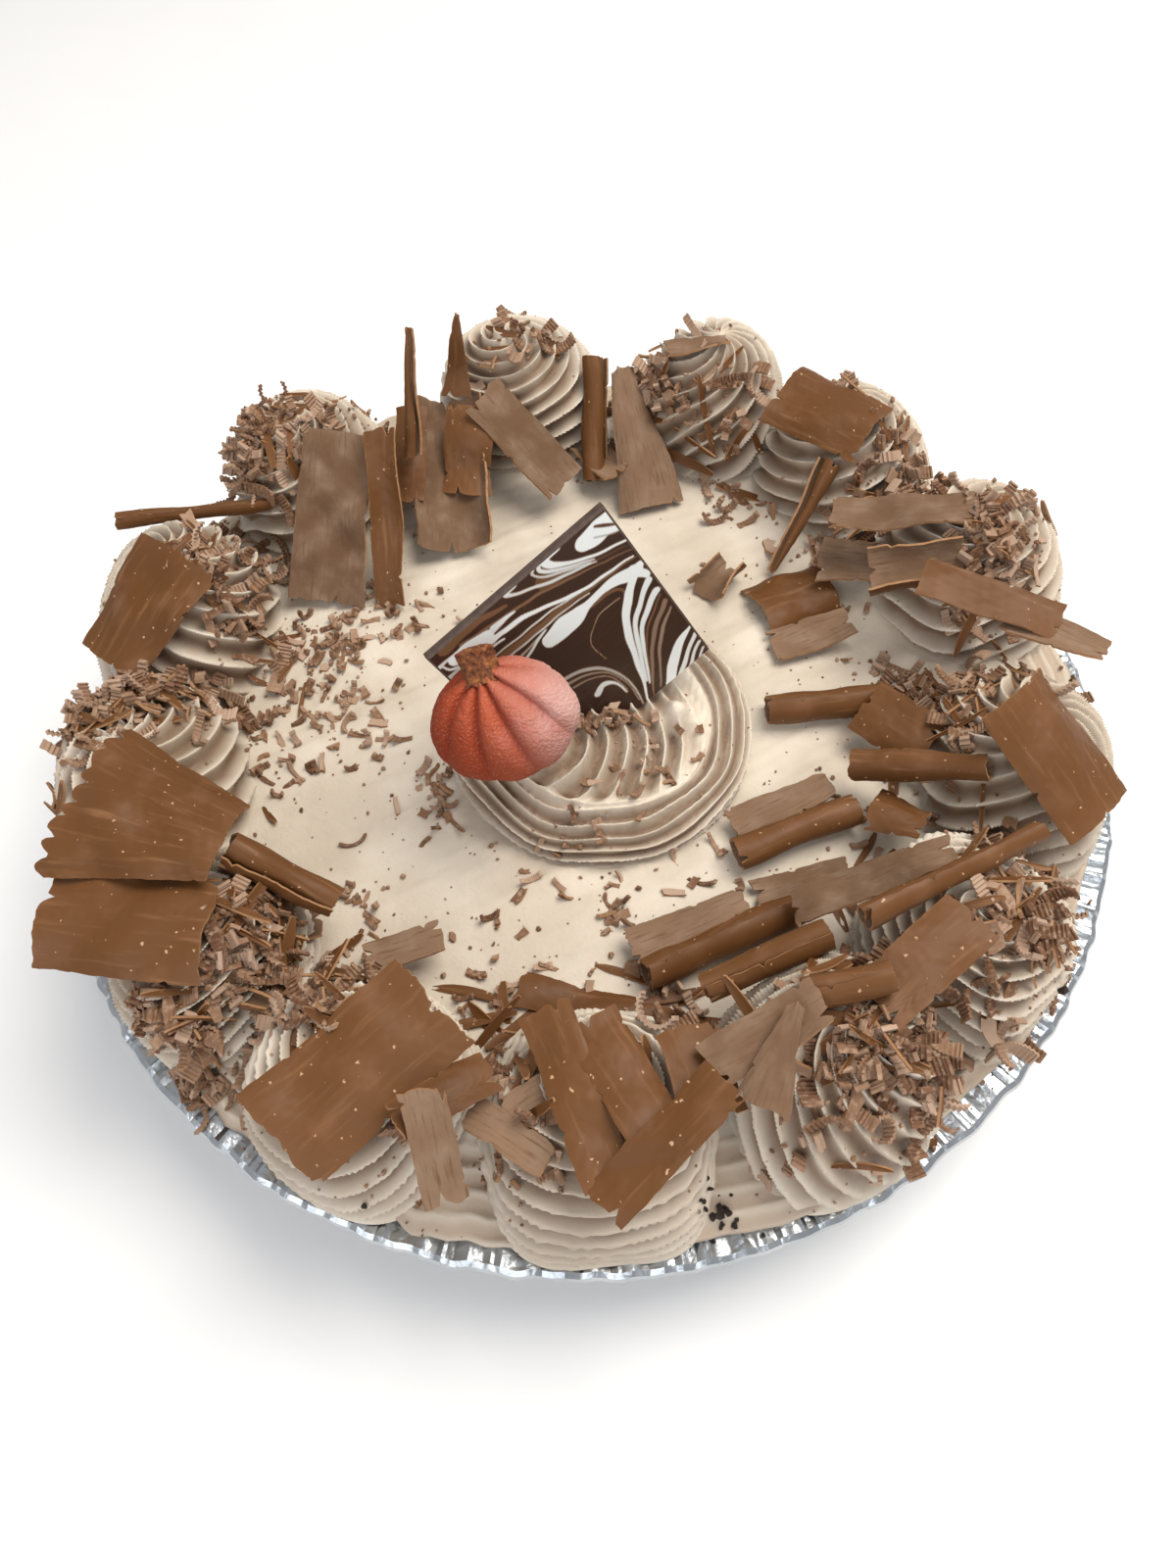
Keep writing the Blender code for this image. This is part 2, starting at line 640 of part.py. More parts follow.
def make_curl(curl, draw, collection):
    """A shaving: a sheet, gutter or roll with uneven ends, as thick as it was cut."""
    rolled = curl.bend > ROLL_BEND
    long_steps = 1 if rolled else 2
    cross_steps = 8 if rolled else 3 + int(abs(curl.bend) > 100)
    ragged = [[draw.uniform(-1.5, 1.5) for _ in range(cross_steps + 1)] for _ in (0, 1)]

    def place(column, row):
        share = column / long_steps
        width = curl.width * (1.0 + (curl.taper - 1.0) * share)
        side, height = curl_section(curl, width, row / cross_steps)
        along = curl.length * (share - 0.5)
        if column == 0:
            along += ragged[0][row]
        elif column == long_steps:
            along += ragged[1][row]
        return along, side, height

    bm = grid_bmesh(long_steps, cross_steps, place)
    obj = add_object(curl.name, bm, MILK_CHOCOLATE, collection)
    sheet = obj.modifiers.new("sheet", "SOLIDIFY")
    sheet.thickness = CURL_THICKNESS * MM
    sheet.offset = 0.0
    bake(obj)
    obj.data.transform(curl_pose(curl))
    return obj


def curl_pose(curl):
    """Where a curl is let go, with its heading, pitch and face."""
    spot = Vector((curl.x, curl.y, curl.z + START_ABOVE)) * MM
    return (Matrix.Translation(spot)
            @ Matrix.Rotation(math.radians(curl.heading), 4, "Z")
            @ Matrix.Rotation(math.radians(-curl.pitch), 4, "Y")
            @ Matrix.Rotation(math.radians(curl.face), 4, "X"))


# ------------------------------------------------------------------ the pie
def build():
    clear_scene()
    draw = random.Random(SEED)
    pie = bpy.data.collections.new("chocolate_cream_pie")
    loose = bpy.data.collections.new("loose_flakes")
    bpy.context.scene.collection.children.link(pie)
    bpy.context.scene.collection.children.link(loose)
    placed = Clearance()

    placed.add(make_tin(pie))
    placed.add(make_crust(pie))
    cream = make_cream(pie, cream_flakes(draw, loose))
    carve(cream, tile_slot(loose))
    placed.add(cream)

    for number, rosette in enumerate(ROSETTES, start=1):
        at, heading = ring_place(rosette)
        piped = make_rosette(f"rosette_{number:02d}", rosette, at, heading, pie)
        fuse(piped, rosette_flakes(rosette, at, heading, FLAKES_PER_ROSETTE, draw, loose))
        placed.add(piped)

    middle = make_rosette("rosette_centre", CENTRE_ROSETTE, CENTRE_ROSETTE_AT, 0.0, pie)
    fuse(middle, rosette_flakes(CENTRE_ROSETTE, CENTRE_ROSETTE_AT, 0.0,
                                FLAKES_ON_CENTRE, draw, loose))
    carve(middle, tile_slot(loose))
    placed.add(middle)
    placed.add(add_object("marbled_tile", tile_bmesh(0.0), MARBLED, pie))

    pumpkin = make_pumpkin(pie)
    placed.settle(pumpkin, -Vector(PUMPKIN_FACING))

    for curl in CURLS:
        placed.settle(make_curl(curl, draw, pie), DOWN)
    bpy.data.collections.remove(loose)


build()
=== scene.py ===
# %% [markdown]
# # A chocolate cream pie, dressed
# The solid model already knows where every piece of the pie lies: the foil pan, the piped
# rosettes, the curls of shaved chocolate, the marbled tile and the sugar pumpkin. This
# lesson loads those solids as a fixed frame and builds the fine surface of each one in its
# place, so that what is seen and what collides are the same pie.

# %% Load the frame
import math
from collections import namedtuple

import bmesh
import bpy
import numpy as np
from mathutils import Euler, Matrix, Vector
from mathutils.bvhtree import BVHTree


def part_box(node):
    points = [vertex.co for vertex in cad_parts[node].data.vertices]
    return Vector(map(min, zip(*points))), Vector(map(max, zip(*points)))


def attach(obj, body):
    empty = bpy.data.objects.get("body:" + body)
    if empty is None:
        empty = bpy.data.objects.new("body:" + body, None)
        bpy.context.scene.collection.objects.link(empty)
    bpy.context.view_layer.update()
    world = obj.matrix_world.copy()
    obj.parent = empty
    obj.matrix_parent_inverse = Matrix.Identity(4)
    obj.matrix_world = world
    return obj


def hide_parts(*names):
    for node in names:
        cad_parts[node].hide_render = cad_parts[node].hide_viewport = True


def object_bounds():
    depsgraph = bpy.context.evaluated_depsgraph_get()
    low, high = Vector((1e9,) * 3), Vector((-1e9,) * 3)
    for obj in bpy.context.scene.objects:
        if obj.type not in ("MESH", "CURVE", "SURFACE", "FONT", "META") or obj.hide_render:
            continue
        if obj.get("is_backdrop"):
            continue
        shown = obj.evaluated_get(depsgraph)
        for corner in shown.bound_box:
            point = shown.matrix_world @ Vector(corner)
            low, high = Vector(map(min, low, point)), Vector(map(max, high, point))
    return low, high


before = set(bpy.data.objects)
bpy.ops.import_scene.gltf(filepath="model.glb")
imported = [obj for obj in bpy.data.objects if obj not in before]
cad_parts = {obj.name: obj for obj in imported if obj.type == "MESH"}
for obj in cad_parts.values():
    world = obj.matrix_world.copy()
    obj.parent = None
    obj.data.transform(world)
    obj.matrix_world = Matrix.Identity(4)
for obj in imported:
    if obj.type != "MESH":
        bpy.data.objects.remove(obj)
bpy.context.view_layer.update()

# %% [markdown]
# ## Camera
# The pie is looked down on from over its front edge, as by someone about to cut it. A short
# lens held close makes the near rosettes large and lets the pan narrow away from the eye,
# where a long lens from far off would make it look flat. The slight roll is that of a lens
# held in the hand. A camera looks along its own -Z, so it is tilted up from straight down.

# %% Camera
MM = 0.001
CAMERA_PLACE = (0.0, -154.2, 267.4)     # mm from the middle of the pan's underside
CAMERA_TILT = 59.41                     # degrees below the horizon
CAMERA_ROLL = -2.22
CAMERA_LENS = 27.0                      # mm
SENSOR_LENGTH = 36.0                    # mm, the longer side of the sensor
NEAR_CLIP = 0.01                        # m, nearer than any part of the pie


def make_camera():
    data = bpy.data.cameras.new("camera")
    data.lens = CAMERA_LENS
    data.sensor_width = SENSOR_LENGTH
    data.clip_start = NEAR_CLIP
    camera = bpy.data.objects.new("camera", data)
    camera.location = Vector(CAMERA_PLACE) * MM
    look = Euler((math.radians(90 - CAMERA_TILT), 0, 0)).to_matrix()
    roll = Matrix.Rotation(math.radians(CAMERA_ROLL), 3, "Z")
    camera.rotation_euler = (look @ roll).to_euler()
    bpy.context.scene.collection.objects.link(camera)
    bpy.context.scene.camera = camera


make_camera()
print("camera", CAMERA_LENS, "mm lens at", CAMERA_PLACE, "mm,", CAMERA_TILT, "degrees down")

# %% [markdown]
# ## Colour and shader nodes
# Paint charts and screens give colours as sRGB codes, but a renderer adds light in linear
# units, so one function turns the code into linear values. A second one adds any shader
# node with its settings and links, which keeps each material short enough to read.

# %% Colour and node helpers


def linear(code):
    """An sRGB colour such as "#d5c5b0" as linear red, green, blue and full alpha."""
    parts = [int(code[start:start + 2], 16) / 255 for start in (1, 3, 5)]
    return (*[part / 12.92 if part <= 0.04045 else ((part + 0.055) / 1.055) ** 2.4
              for part in parts], 1.0)


def node(tree, kind, settings=None, inputs=None):
    """Add a shader node: its properties (or a ramp's stops), and its inputs as values or links."""
    made = tree.nodes.new("ShaderNode" + kind)
    for key, value in (settings or {}).items():
        if key == "stops":
            ramp = made.color_ramp.elements
            while len(ramp) < len(value):
                ramp.new(0.5)
            for element, (position, colour) in zip(ramp, value):
                element.position = position
                element.color = linear(colour)
        else:
            setattr(made, key, value)
    for key, value in (inputs or {}).items():
        if isinstance(value, bpy.types.Node):
            value = value.outputs[0]
        if isinstance(value, bpy.types.NodeSocket):
            tree.links.new(value, made.inputs[key])
        else:
            made.inputs[key].default_value = value
    return made


def finish(name, **sockets):
    """A new material with its Principled shader, whose even values are set on its own sockets."""
    made = bpy.data.materials.new(name)
    made.use_nodes = True
    shader = made.node_tree.nodes["Principled BSDF"]
    for socket, value in sockets.items():
        shader.inputs[socket.replace("_", " ")].default_value = value
    return made, made.node_tree, shader


print("half-bright sRGB grey is", round(linear("#808080")[0], 3), "in linear light")

# %% [markdown]
# ## Patterns and relief
# Grain, pores and fibres are patterns worked out at each point of a surface. Their scale
# says how many grains go into a metre, so one function turns a grain's real size into it.
# Three more do what every food finish here needs: blend two colours by a pattern, cut a
# pattern off so that only its spots are left, and let it dent the surface.

# %% Patterns and relief


def per(size):
    """The scale of a noise or cell pattern whose grains are `size` mm across."""
    return 1.0 / (size * MM)


def blend_colour(tree, share, first, second):
    """First colour where share is 0, second where it is 1."""
    inputs = {0: share, 6: first, 7: second}
    return node(tree, "Mix", {"data_type": "RGBA"}, inputs).outputs[2]


def relief(tree, shader, height, depth, under=None):
    """Bump the shader with a height pattern that is `depth` mm deep, over another one if given."""
    inputs = {"Height": height, "Distance": depth * MM, "Strength": 1.0}
    if under:
        inputs["Normal"] = under
    bump = node(tree, "Bump", None, inputs)
    tree.links.new(bump.outputs[0], shader.inputs["Normal"])
    return bump


def threshold(tree, value, low, high):
    """0 before low, 1 past high and smooth between, falling instead if low is the larger."""
    inputs = {"Value": value, "From Min": low, "From Max": high}
    return node(tree, "MapRange", {"interpolation_type": "SMOOTHSTEP"}, inputs)


print("a grain of 1 mm has the scale", round(per(1)))

# %% [markdown]
# ## Whipped chocolate cream
# Cream whipped with chocolate is a foam: light enters it and comes out again nearby, so its
# shadows stay warm and soft. Its surface is satin, with air holes under a millimetre wide
# and a dusting of chocolate specks. It could be one flat colour with subsurface light, but
# a slow change of tone keeps a broad smooth top from looking like plastic. The valleys of
# piped ridges get painted shade: a value kept with the shape darkens them.

# %% Whipped chocolate cream
# the light and the deep tone of the skin, and the painted shade of its valleys
SMOOTH_TONES_AND_SHADE = ("#d8ccba", "#c9bba8", "#b39f8a")
PIPED_TONES_AND_SHADE = ("#e3d7c5", "#d4c5b1", "#806853")
CREAM_SPECK = "#8a6648"
PORE = 0.8                  # air holes are finer still, and are drawn as coarse as they show


def whipped_cream(name, light, deep, valley):
    made, tree, shader = finish(name, Roughness=0.58, IOR=1.45, Subsurface_Weight=0.15,
                                Subsurface_Radius=(1.0, 0.62, 0.4), Subsurface_Scale=0.6 * MM)
    place = node(tree, "TexCoord").outputs["Object"]
    broad = node(tree, "TexNoise", None, {"Vector": place, "Scale": per(22), "Detail": 3.0})
    skin = blend_colour(tree, threshold(tree, broad, 0.35, 0.65), linear(deep), linear(light))
    # painted shade: the shape's "tone" darkens the valleys of the ridges toward the valley colour
    groove = node(tree, "Attribute", {"attribute_name": "tone"}).outputs["Fac"]
    tone = blend_colour(tree, groove, skin, linear(valley))
    dust = node(tree, "TexVoronoi", None, {"Vector": place, "Scale": per(4.2)})
    speck = threshold(tree, dust, 0.085, 0.05)
    colour = blend_colour(tree, speck, tone, linear(CREAM_SPECK))
    tree.links.new(colour, shader.inputs["Base Color"])
    smear = node(tree, "TexNoise", None, {"Vector": place, "Scale": per(3.5), "Detail": 2.0})
    soft = relief(tree, shader, smear, 0.25)
    pores = node(tree, "TexNoise", None, {"Vector": place, "Scale": per(PORE), "Detail": 4.0})
    relief(tree, shader, pores, 0.10, soft)
    return made


SMOOTH_CREAM = whipped_cream("whipped_chocolate_cream_smoothed", *SMOOTH_TONES_AND_SHADE)
PIPED_CREAM = whipped_cream("whipped_chocolate_cream_piped", *PIPED_TONES_AND_SHADE)
print("cream finishes", [each.name for each in (SMOOTH_CREAM, PIPED_CREAM)])

# %% [markdown]
# ## Shaved milk chocolate
# A blade drawn over a block leaves two unlike sides. The side that the block's smooth skin
# or the blade polished is satin and warm brown. The side that was torn off is dull and pale,
# with lines along the cut. Thin broken edges let light through and look paler still. Each
# curl therefore carries three finishes: satin, dull and edge. The patterns use the curl's
# own "cut" coordinates, which follow the sheet as it rolls up, in true size. Patterns placed
# in space would be simpler, but would cut through a roll as if it were solid.

# %% Shaved milk chocolate
SATIN_BROWN = "#6f4a2c"
SATIN_RED = "#613d1e"
THIN_BROWN = "#96663d"      # light comes through where a curl runs thin
WARM_CLOUD = "#875f44"
WORN_STREAK = "#956d4b"
CRUSHED_SPECK = "#bf9a76"   # cocoa butter shows pale where a crumb was crushed
FATTY_SPECULAR = 0.2        # cocoa butter on a cut face scatters, so it mirrors little
ALONG_CUT = (0.12, 1.0, 1.0)            # a pattern is drawn out along the blade's way


def satin_chocolate():
    """The side that was polished: a low soft sheen, streaks along the cut, a few pale specks."""
    made, tree, shader = finish("shaved_milk_chocolate_satin", Roughness=0.45, IOR=1.46,
                                Specular_IOR_Level=FATTY_SPECULAR)
    cut = node(tree, "UVMap", {"uv_map": "cut"}).outputs[0]
    tone = node(tree, "Attribute", {"attribute_name": "tone"}).outputs["Fac"]
    clouds = node(tree, "TexNoise", None, {"Vector": cut, "Scale": per(9), "Detail": 3.0})
    drawn = node(tree, "Mapping", None, {"Vector": cut, "Scale": ALONG_CUT})
    streaks = node(tree, "TexNoise", None, {"Vector": drawn, "Scale": per(1.6), "Detail": 3.0})
    base = blend_colour(tree, tone, linear(SATIN_RED), linear(SATIN_BROWN))
    thin = blend_colour(tree, threshold(tree, tone, 0.9, 1.5), base, linear(THIN_BROWN))
    warm = blend_colour(tree, threshold(tree, clouds, 0.48, 1.05), thin, linear(WARM_CLOUD))
    worn = blend_colour(tree, threshold(tree, streaks, 0.52, 1.0), warm, linear(WORN_STREAK))
    dust = node(tree, "TexVoronoi", None, {"Vector": cut, "Scale": per(2.3)})
    grain = node(tree, "TexNoise", None, {"Vector": cut, "Scale": per(0.9), "Detail": 2.0})
    speck = node(tree, "Math", {"operation": "MULTIPLY_ADD"}, {0: grain, 1: 0.8, 2: dust})
    colour = blend_colour(tree, threshold(tree, speck, 0.48, 0.41), worn, linear(CRUSHED_SPECK))
    tree.links.new(colour, shader.inputs["Base Color"])
    drag = relief(tree, shader, streaks, 0.05)
    relief(tree, shader, clouds, 0.12, drag)
    return made


SATIN = satin_chocolate()
print("polished side", SATIN.name)

# %% [markdown]
# ## The torn side and the rim
# Where the blade tore the chocolate off the block, its fat crystals stand up like a fine nap:
# pale, matt and drawn into fibres. On the thin rim only broken crystals show, which are paler
# again. Both need the same coordinates as the satin side, so that the fibres run along the
# curl on either side of it.

# %% The torn side and the rim
DULL_BROWN = "#886c55"
DULL_DARK = "#694e39"
DULL_CLOUD = "#917965"
FIBRE_SHADE = "#6d513b"


def dull_chocolate():
    """The torn side: no sheen, and fine fibres that catch the light along the cut."""
    made, tree, shader = finish("shaved_milk_chocolate_dull", Roughness=0.85, IOR=1.46,
                                Specular_IOR_Level=FATTY_SPECULAR)
    cut = node(tree, "UVMap", {"uv_map": "cut"}).outputs[0]
    tone = node(tree, "Attribute", {"attribute_name": "tone"}).outputs["Fac"]
    clouds = node(tree, "TexNoise", None, {"Vector": cut, "Scale": per(7), "Detail": 4.0})
    drawn = node(tree, "Mapping", None, {"Vector": cut, "Scale": ALONG_CUT})
    fibres = node(tree, "TexNoise", None, {"Vector": drawn, "Scale": per(0.7), "Detail": 4.0})
    base = blend_colour(tree, tone, linear(DULL_DARK), linear(DULL_BROWN))
    cloudy = blend_colour(tree, threshold(tree, clouds, 0.35, 0.9), base, linear(DULL_CLOUD))
    colour = blend_colour(tree, threshold(tree, fibres, 0.5, 0.25), cloudy, linear(FIBRE_SHADE))
    tree.links.new(colour, shader.inputs["Base Color"])
    scores = relief(tree, shader, fibres, 0.1)
    pores = node(tree, "TexNoise", None, {"Vector": cut, "Scale": per(0.6), "Detail": 3.0})
    relief(tree, shader, pores, 0.08, scores)
    return made


def edge_chocolate():
    """The broken rim: rough, chipped and paler than both sides."""
    made, tree, shader = finish("shaved_milk_chocolate_edge", Roughness=0.75, IOR=1.46,
                                Specular_IOR_Level=FATTY_SPECULAR)
    cut = node(tree, "UVMap", {"uv_map": "cut"}).outputs[0]
    chips = node(tree, "TexNoise", None, {"Vector": cut, "Scale": per(1.5), "Detail": 3.0})
    colour = blend_colour(tree, chips, linear("#855c3c"), linear("#b58c67"))
    tree.links.new(colour, shader.inputs["Base Color"])
    relief(tree, shader, chips, 0.15)
    return made


DULL = dull_chocolate()
EDGE = edge_chocolate()
print("torn side and rim", DULL.name, EDGE.name)

# %% [markdown]
# ## Mesh helpers
# Food has no straight edge, so most pieces here are grids of points bent by a formula and
# then disturbed. numpy bends a whole grid at once. The unevenness is a sum of a few sine
# waves that lie every way: it is smooth, it repeats the same each run, and its wavelength
# is a real size in millimetres.

# %% Mesh helpers
Shape = namedtuple("Shape", "points faces cut tone finish")


def waves(points, wavelength, seed, count=7):
    """A smooth uneven field of about plus or minus one over an array of points in mm."""
    draw = np.random.default_rng(seed)
    total = np.zeros(points.shape[:-1])
    for _ in range(count):
        way = draw.normal(size=points.shape[-1])
        way /= np.linalg.norm(way)
        length = wavelength * draw.uniform(0.7, 1.5)
        total += np.sin(points @ way * 2 * math.pi / length + draw.uniform(0, 2 * math.pi))
    return total / math.sqrt(count)


def lattice(rows, columns, wrap=False):
    """The quads between the points of a grid, the last column joined to the first if it wraps."""
    row, column = np.meshgrid(np.arange(rows - 1), np.arange(columns if wrap else columns - 1),
                              indexing="ij")
    beside = (column + 1) % columns
    corners = (row * columns + column, row * columns + beside,
               (row + 1) * columns + beside, (row + 1) * columns + column)
    return np.stack(corners, -1).reshape(-1, 4)


def flat_shape(points, faces, cut=None, tone=0.0, finish_index=0):
    """A Shape with one tone and one finish."""
    count = len(points)
    cut = np.zeros((count, 2)) if cut is None else cut
    return Shape(points, faces, cut, np.full(count, tone), np.full(len(faces), finish_index))


def joined(shapes):
    """Many shapes as one."""
    starts = np.cumsum([0] + [len(shape.points) for shape in shapes[:-1]])
    faces = [[corner + start for corner in face]
             for shape, start in zip(shapes, starts.tolist()) for face in shape.faces.tolist()]
    stacked = [np.concatenate([getattr(shape, part) for shape in shapes])
               for part in ("points", "cut", "tone", "finish")]
    return Shape(stacked[0], faces, stacked[1], stacked[2], stacked[3])


print("a grid of 3 by 4 points has", len(lattice(3, 4)), "faces")

# %% [markdown]
# ## From points to a piece
# A piece is a mesh object that knows three things: which finish each face has, where each
# point lies on the sheet before it was bent, and how pale or dark it is. It then rides on
# the pie's one body, and the solids that it stands for are no longer shown.

# %% From points to a piece
WELD_DISTANCE = 0.01        # mm between points that become one


def make_piece(name, shape, finishes, sharp=None, weld=False):
    """A mesh object from a shape in mm, with its finishes and its cut coordinates."""
    mesh = bpy.data.meshes.new(name)
    faces = shape.faces if isinstance(shape.faces, list) else shape.faces.tolist()
    mesh.from_pydata((shape.points * MM).tolist(), [], faces)
    for each in finishes:
        mesh.materials.append(each)
    mesh.polygons.foreach_set("material_index", shape.finish.astype(np.int32))
    corners = np.zeros(len(mesh.loops), np.int32)
    mesh.loops.foreach_get("vertex_index", corners)
    layer = mesh.uv_layers.new(name="cut")
    layer.data.foreach_set("uv", (shape.cut * MM)[corners].astype(np.float32).ravel())
    tone = mesh.attributes.new("tone", "FLOAT", "POINT")
    tone.data.foreach_set("value", shape.tone.astype(np.float32))
    if weld:
        bm = bmesh.new()
        bm.from_mesh(mesh)
        bmesh.ops.remove_doubles(bm, verts=bm.verts, dist=WELD_DISTANCE * MM)
        bm.to_mesh(mesh)
        bm.free()
    mesh.shade_smooth()
    if sharp:
        mesh.set_sharp_from_angle(angle=math.radians(sharp))
    piece = bpy.data.objects.new(name, mesh)
    bpy.context.scene.collection.objects.link(piece)
    return piece


def belongs(piece, slot, *nodes):
    """The piece rides on the pie and stands for solid nodes, which are hidden; the slot is not used."""
    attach(piece, "root")
    if nodes:
        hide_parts(*nodes)
    return piece


def moved_onto(points, name):
    """Points shifted so that the middle of their box is the middle of the node's box."""
    low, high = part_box(name)
    middle = np.array((low + high) / 2) / MM
    return points + middle - (points.min(0) + points.max(0)) / 2


print("solids to dress", len(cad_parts))

# %% [markdown]
# ## Smooth cream
# The filling was levelled with a palette knife, which leaves long shallow strokes, a faint
# step where a stroke ended, and a rounded shoulder that sinks under its own weight. Knife
# strokes are noise stretched along the stroke, so the field is read with one axis shrunk.

# %% Smooth cream
CREAM_LEVEL = 42.0
CREAM_SHOULDER_RADIUS = 86.0
CREAM_EDGE_RADIUS = 117.0
CREAM_SHOULDER_DROP = 8.0
CREAM_LIP_HEIGHT = 31.8
# radius and height of the cream below its lip: over the flange, inside the pan, and its floor
CREAM_UNDERSIDE = (
    (CREAM_EDGE_RADIUS + 0.7, CREAM_LIP_HEIGHT + 1.2), (CREAM_EDGE_RADIUS - 0.6, CREAM_LIP_HEIGHT),
    (100.0, 31.0), (82.0, 6.0), (0.0, 6.0),
)
STROKE_HEADING = math.radians(28)
STROKE_DEPTH = 0.28
SCRATCH_DEPTH = 0.12
SAG = 0.45                  # how far the broad top rises and sinks
STEP_HEIGHT = 0.55          # the ridge of cream that a knife leaves where it lifts off
STEP_WIDTH = 1.1
# knife steps: where each starts, its heading in degrees, its length and its bow in mm
KNIFE_STEPS = (
    ((-30, 42), 20, 34, 6), ((-66, -2), 75, 30, -5), ((-20, -50), 8, 42, 5),
    ((30, 36), -35, 26, 4), ((48, -18), -60, 30, 6), ((-52, -30), 35, 24, -4),
    ((6, 58), 5, 30, -4), ((58, 8), 100, 20, 3),
)


def cream_height(radius):
    """The height of the cream's top: level, then a rounded shoulder."""
    past = np.clip(radius - CREAM_SHOULDER_RADIUS, 0, None)
    share = past / (CREAM_EDGE_RADIUS - CREAM_SHOULDER_RADIUS)
    return CREAM_LEVEL - CREAM_SHOULDER_DROP * share ** 2


def knife_relief(x, y):
    """How far the knife left the cream above or below its level."""
    along = x * math.cos(STROKE_HEADING) + y * math.sin(STROKE_HEADING)
    aside = -x * math.sin(STROKE_HEADING) + y * math.cos(STROKE_HEADING)
    strokes = np.stack([along * 0.22, aside], -1)
    height = STROKE_DEPTH * waves(strokes, 11, 21) + SCRATCH_DEPTH * waves(strokes, 4, 22)
    height += SAG * waves(np.stack([x, y], -1), 46, 23)
    for (start_x, start_y), heading, length, bow in KNIFE_STEPS:
        turn = math.radians(heading)
        far = (x - start_x) * math.cos(turn) + (y - start_y) * math.sin(turn)
        off = -(x - start_x) * math.sin(turn) + (y - start_y) * math.cos(turn)
        share = far / length
        off = off - bow * 4 * share * (1 - share)
        inside = np.clip(np.minimum(share, 1 - share) * 6, 0, 1)
        side = np.where(off > 0, 1.0, 0.25)
        height += inside * STEP_HEIGHT * np.exp(-np.abs(off) / STEP_WIDTH) * side
    return height


print("the cream's top is level at", CREAM_LEVEL, "mm and", cream_height(CREAM_EDGE_RADIUS),
      "mm at its edge")

# %% [markdown]
# ## The filling
# The filling is a grid of rings, fine where it shows and coarse where it lies in the pan.
# Near the edge it carries the finely ridged tails that the nozzle drew between the rosettes,
# and its outline wavers, as nothing pressed it straight. The same ridges return on every
# rosette, so their section is a function of its own.

# %% The filling
BORDER_START = 100.0        # past here the tail of each rosette was drawn along the edge
BORDER_PITCH = 4.0
BORDER_DEPTH = 1.8
BORDER_LIFT = 0.9


def grooves(phase):
    """Ridges from a star nozzle: 0 on a sharp crest, 1 in a broad valley, over a phase of two."""
    return np.abs(np.sin(phase * math.pi / 2)) ** 0.7


def make_filling(columns=420, rings=170):
    top = np.linspace(0.0, CREAM_EDGE_RADIUS, rings)
    radius = np.concatenate([top, [row[0] for row in CREAM_UNDERSIDE]])[:, None]
    height = np.concatenate([cream_height(top), [row[1] for row in CREAM_UNDERSIDE]])[:, None]
    angle = np.linspace(0, 2 * math.pi, columns, endpoint=False)[None, :]
    radius, angle = np.broadcast_arrays(radius, angle)
    ring = np.stack([np.cos(angle), np.sin(angle)], -1) * 60
    edge = np.clip((radius - BORDER_START) / (CREAM_EDGE_RADIUS - BORDER_START), 0, 1)
    spread = radius + edge * (1.1 * waves(ring, 17, 31) + 0.5 * waves(ring, 5, 32))
    x, y = spread * np.cos(angle), spread * np.sin(angle)
    z = np.broadcast_to(height, x.shape).copy()
    z[:len(top)] += knife_relief(x, y)[:len(top)]
    turns = angle / (2 * math.pi)
    wander = 0.5 * waves(ring, 25, 33)
    groove = grooves(2 * ((radius - BORDER_START) / BORDER_PITCH + 2 * turns) + wander)
    border = np.clip((radius - BORDER_START) / 4, 0, 1) * (z > CREAM_LIP_HEIGHT)
    z += border * (BORDER_LIFT - BORDER_DEPTH * groove)
    points = np.stack([x, y, z], -1).reshape(-1, 3)
    shape = flat_shape(points, lattice(len(radius), columns, wrap=True))
    # painted shade: the valleys of the border ridges are darkened through the shape's "tone"
    shape = shape._replace(tone=(0.9 * border * groove).ravel())
    piece = make_piece("smoothed_cream", shape, [SMOOTH_CREAM], weld=True)
    return belongs(piece, "chocolate_cream", "cream_filling")


# the pieces of cream, on which small shavings can land
GROUND = [make_filling()]
print("smoothed cream", len(GROUND[0].data.polygons), "faces")

# %% [markdown]
# ## Piped rosettes
# A star nozzle squeezes a rope of cream with sharp ridges and round valleys between them.
# Wound once and a half about a point and pulled up, the rope makes a rosette whose ridges
# climb round its side. No two come out alike, so each has its row of sizes and its own count
# of ridges. One rosette turned round the pie thirteen times would be shorter to write, and
# would look stamped.

# %% Piped rosettes
# angle round the pie, distance from its middle, half sizes along and across the radius,
# peak height, lean inward and sideways, ridges that start at the foot (negative turns the
# other way), and ridges that the side crosses: the same rows as the solid model's
Rosette = namedtuple(
    "Rosette", "angle radius half_depth half_width peak lean_in lean_side starts coils")
ROSETTES = (
    Rosette(98, 97, 21, 22.0, 72, 2, 2, 3, 5),
    Rosette(69, 97, 21, 20.5, 73, 1, -3, 7, 3),
    Rosette(44, 97, 21, 21.0, 69, 0, 2, 5, 4),
    Rosette(18, 97, 21, 22.0, 71, -2, 0, 4, 4),
    Rosette(-15, 97, 21, 21.0, 68, 1, 1, 7, 3),
    Rosette(-40.5, 98, 21, 19.8, 70, 2, -2, -3, 5),
    Rosette(-64.5, 100, 21, 20.0, 72, 3, 3, -8, 3),
    Rosette(-90.5, 99, 21, 22.6, 70, 5, 3, 1, 6),
    Rosette(-117.5, 100, 21, 21.5, 69, 2, 0, 2, 5),
    Rosette(-142, 98, 21, 19.2, 68, 0, -1, 3, 5),
    Rosette(-168, 97, 21, 23.0, 70, -1, 2, -6, 3),
    Rosette(165, 97, 21, 22.0, 71, 1, -2, -7, 3),
    Rosette(134, 97, 21, 22.0, 72, 0, 2, 4, 4),
)


print("rosettes", len(ROSETTES), "up to", max(each.peak for each in ROSETTES), "mm high")

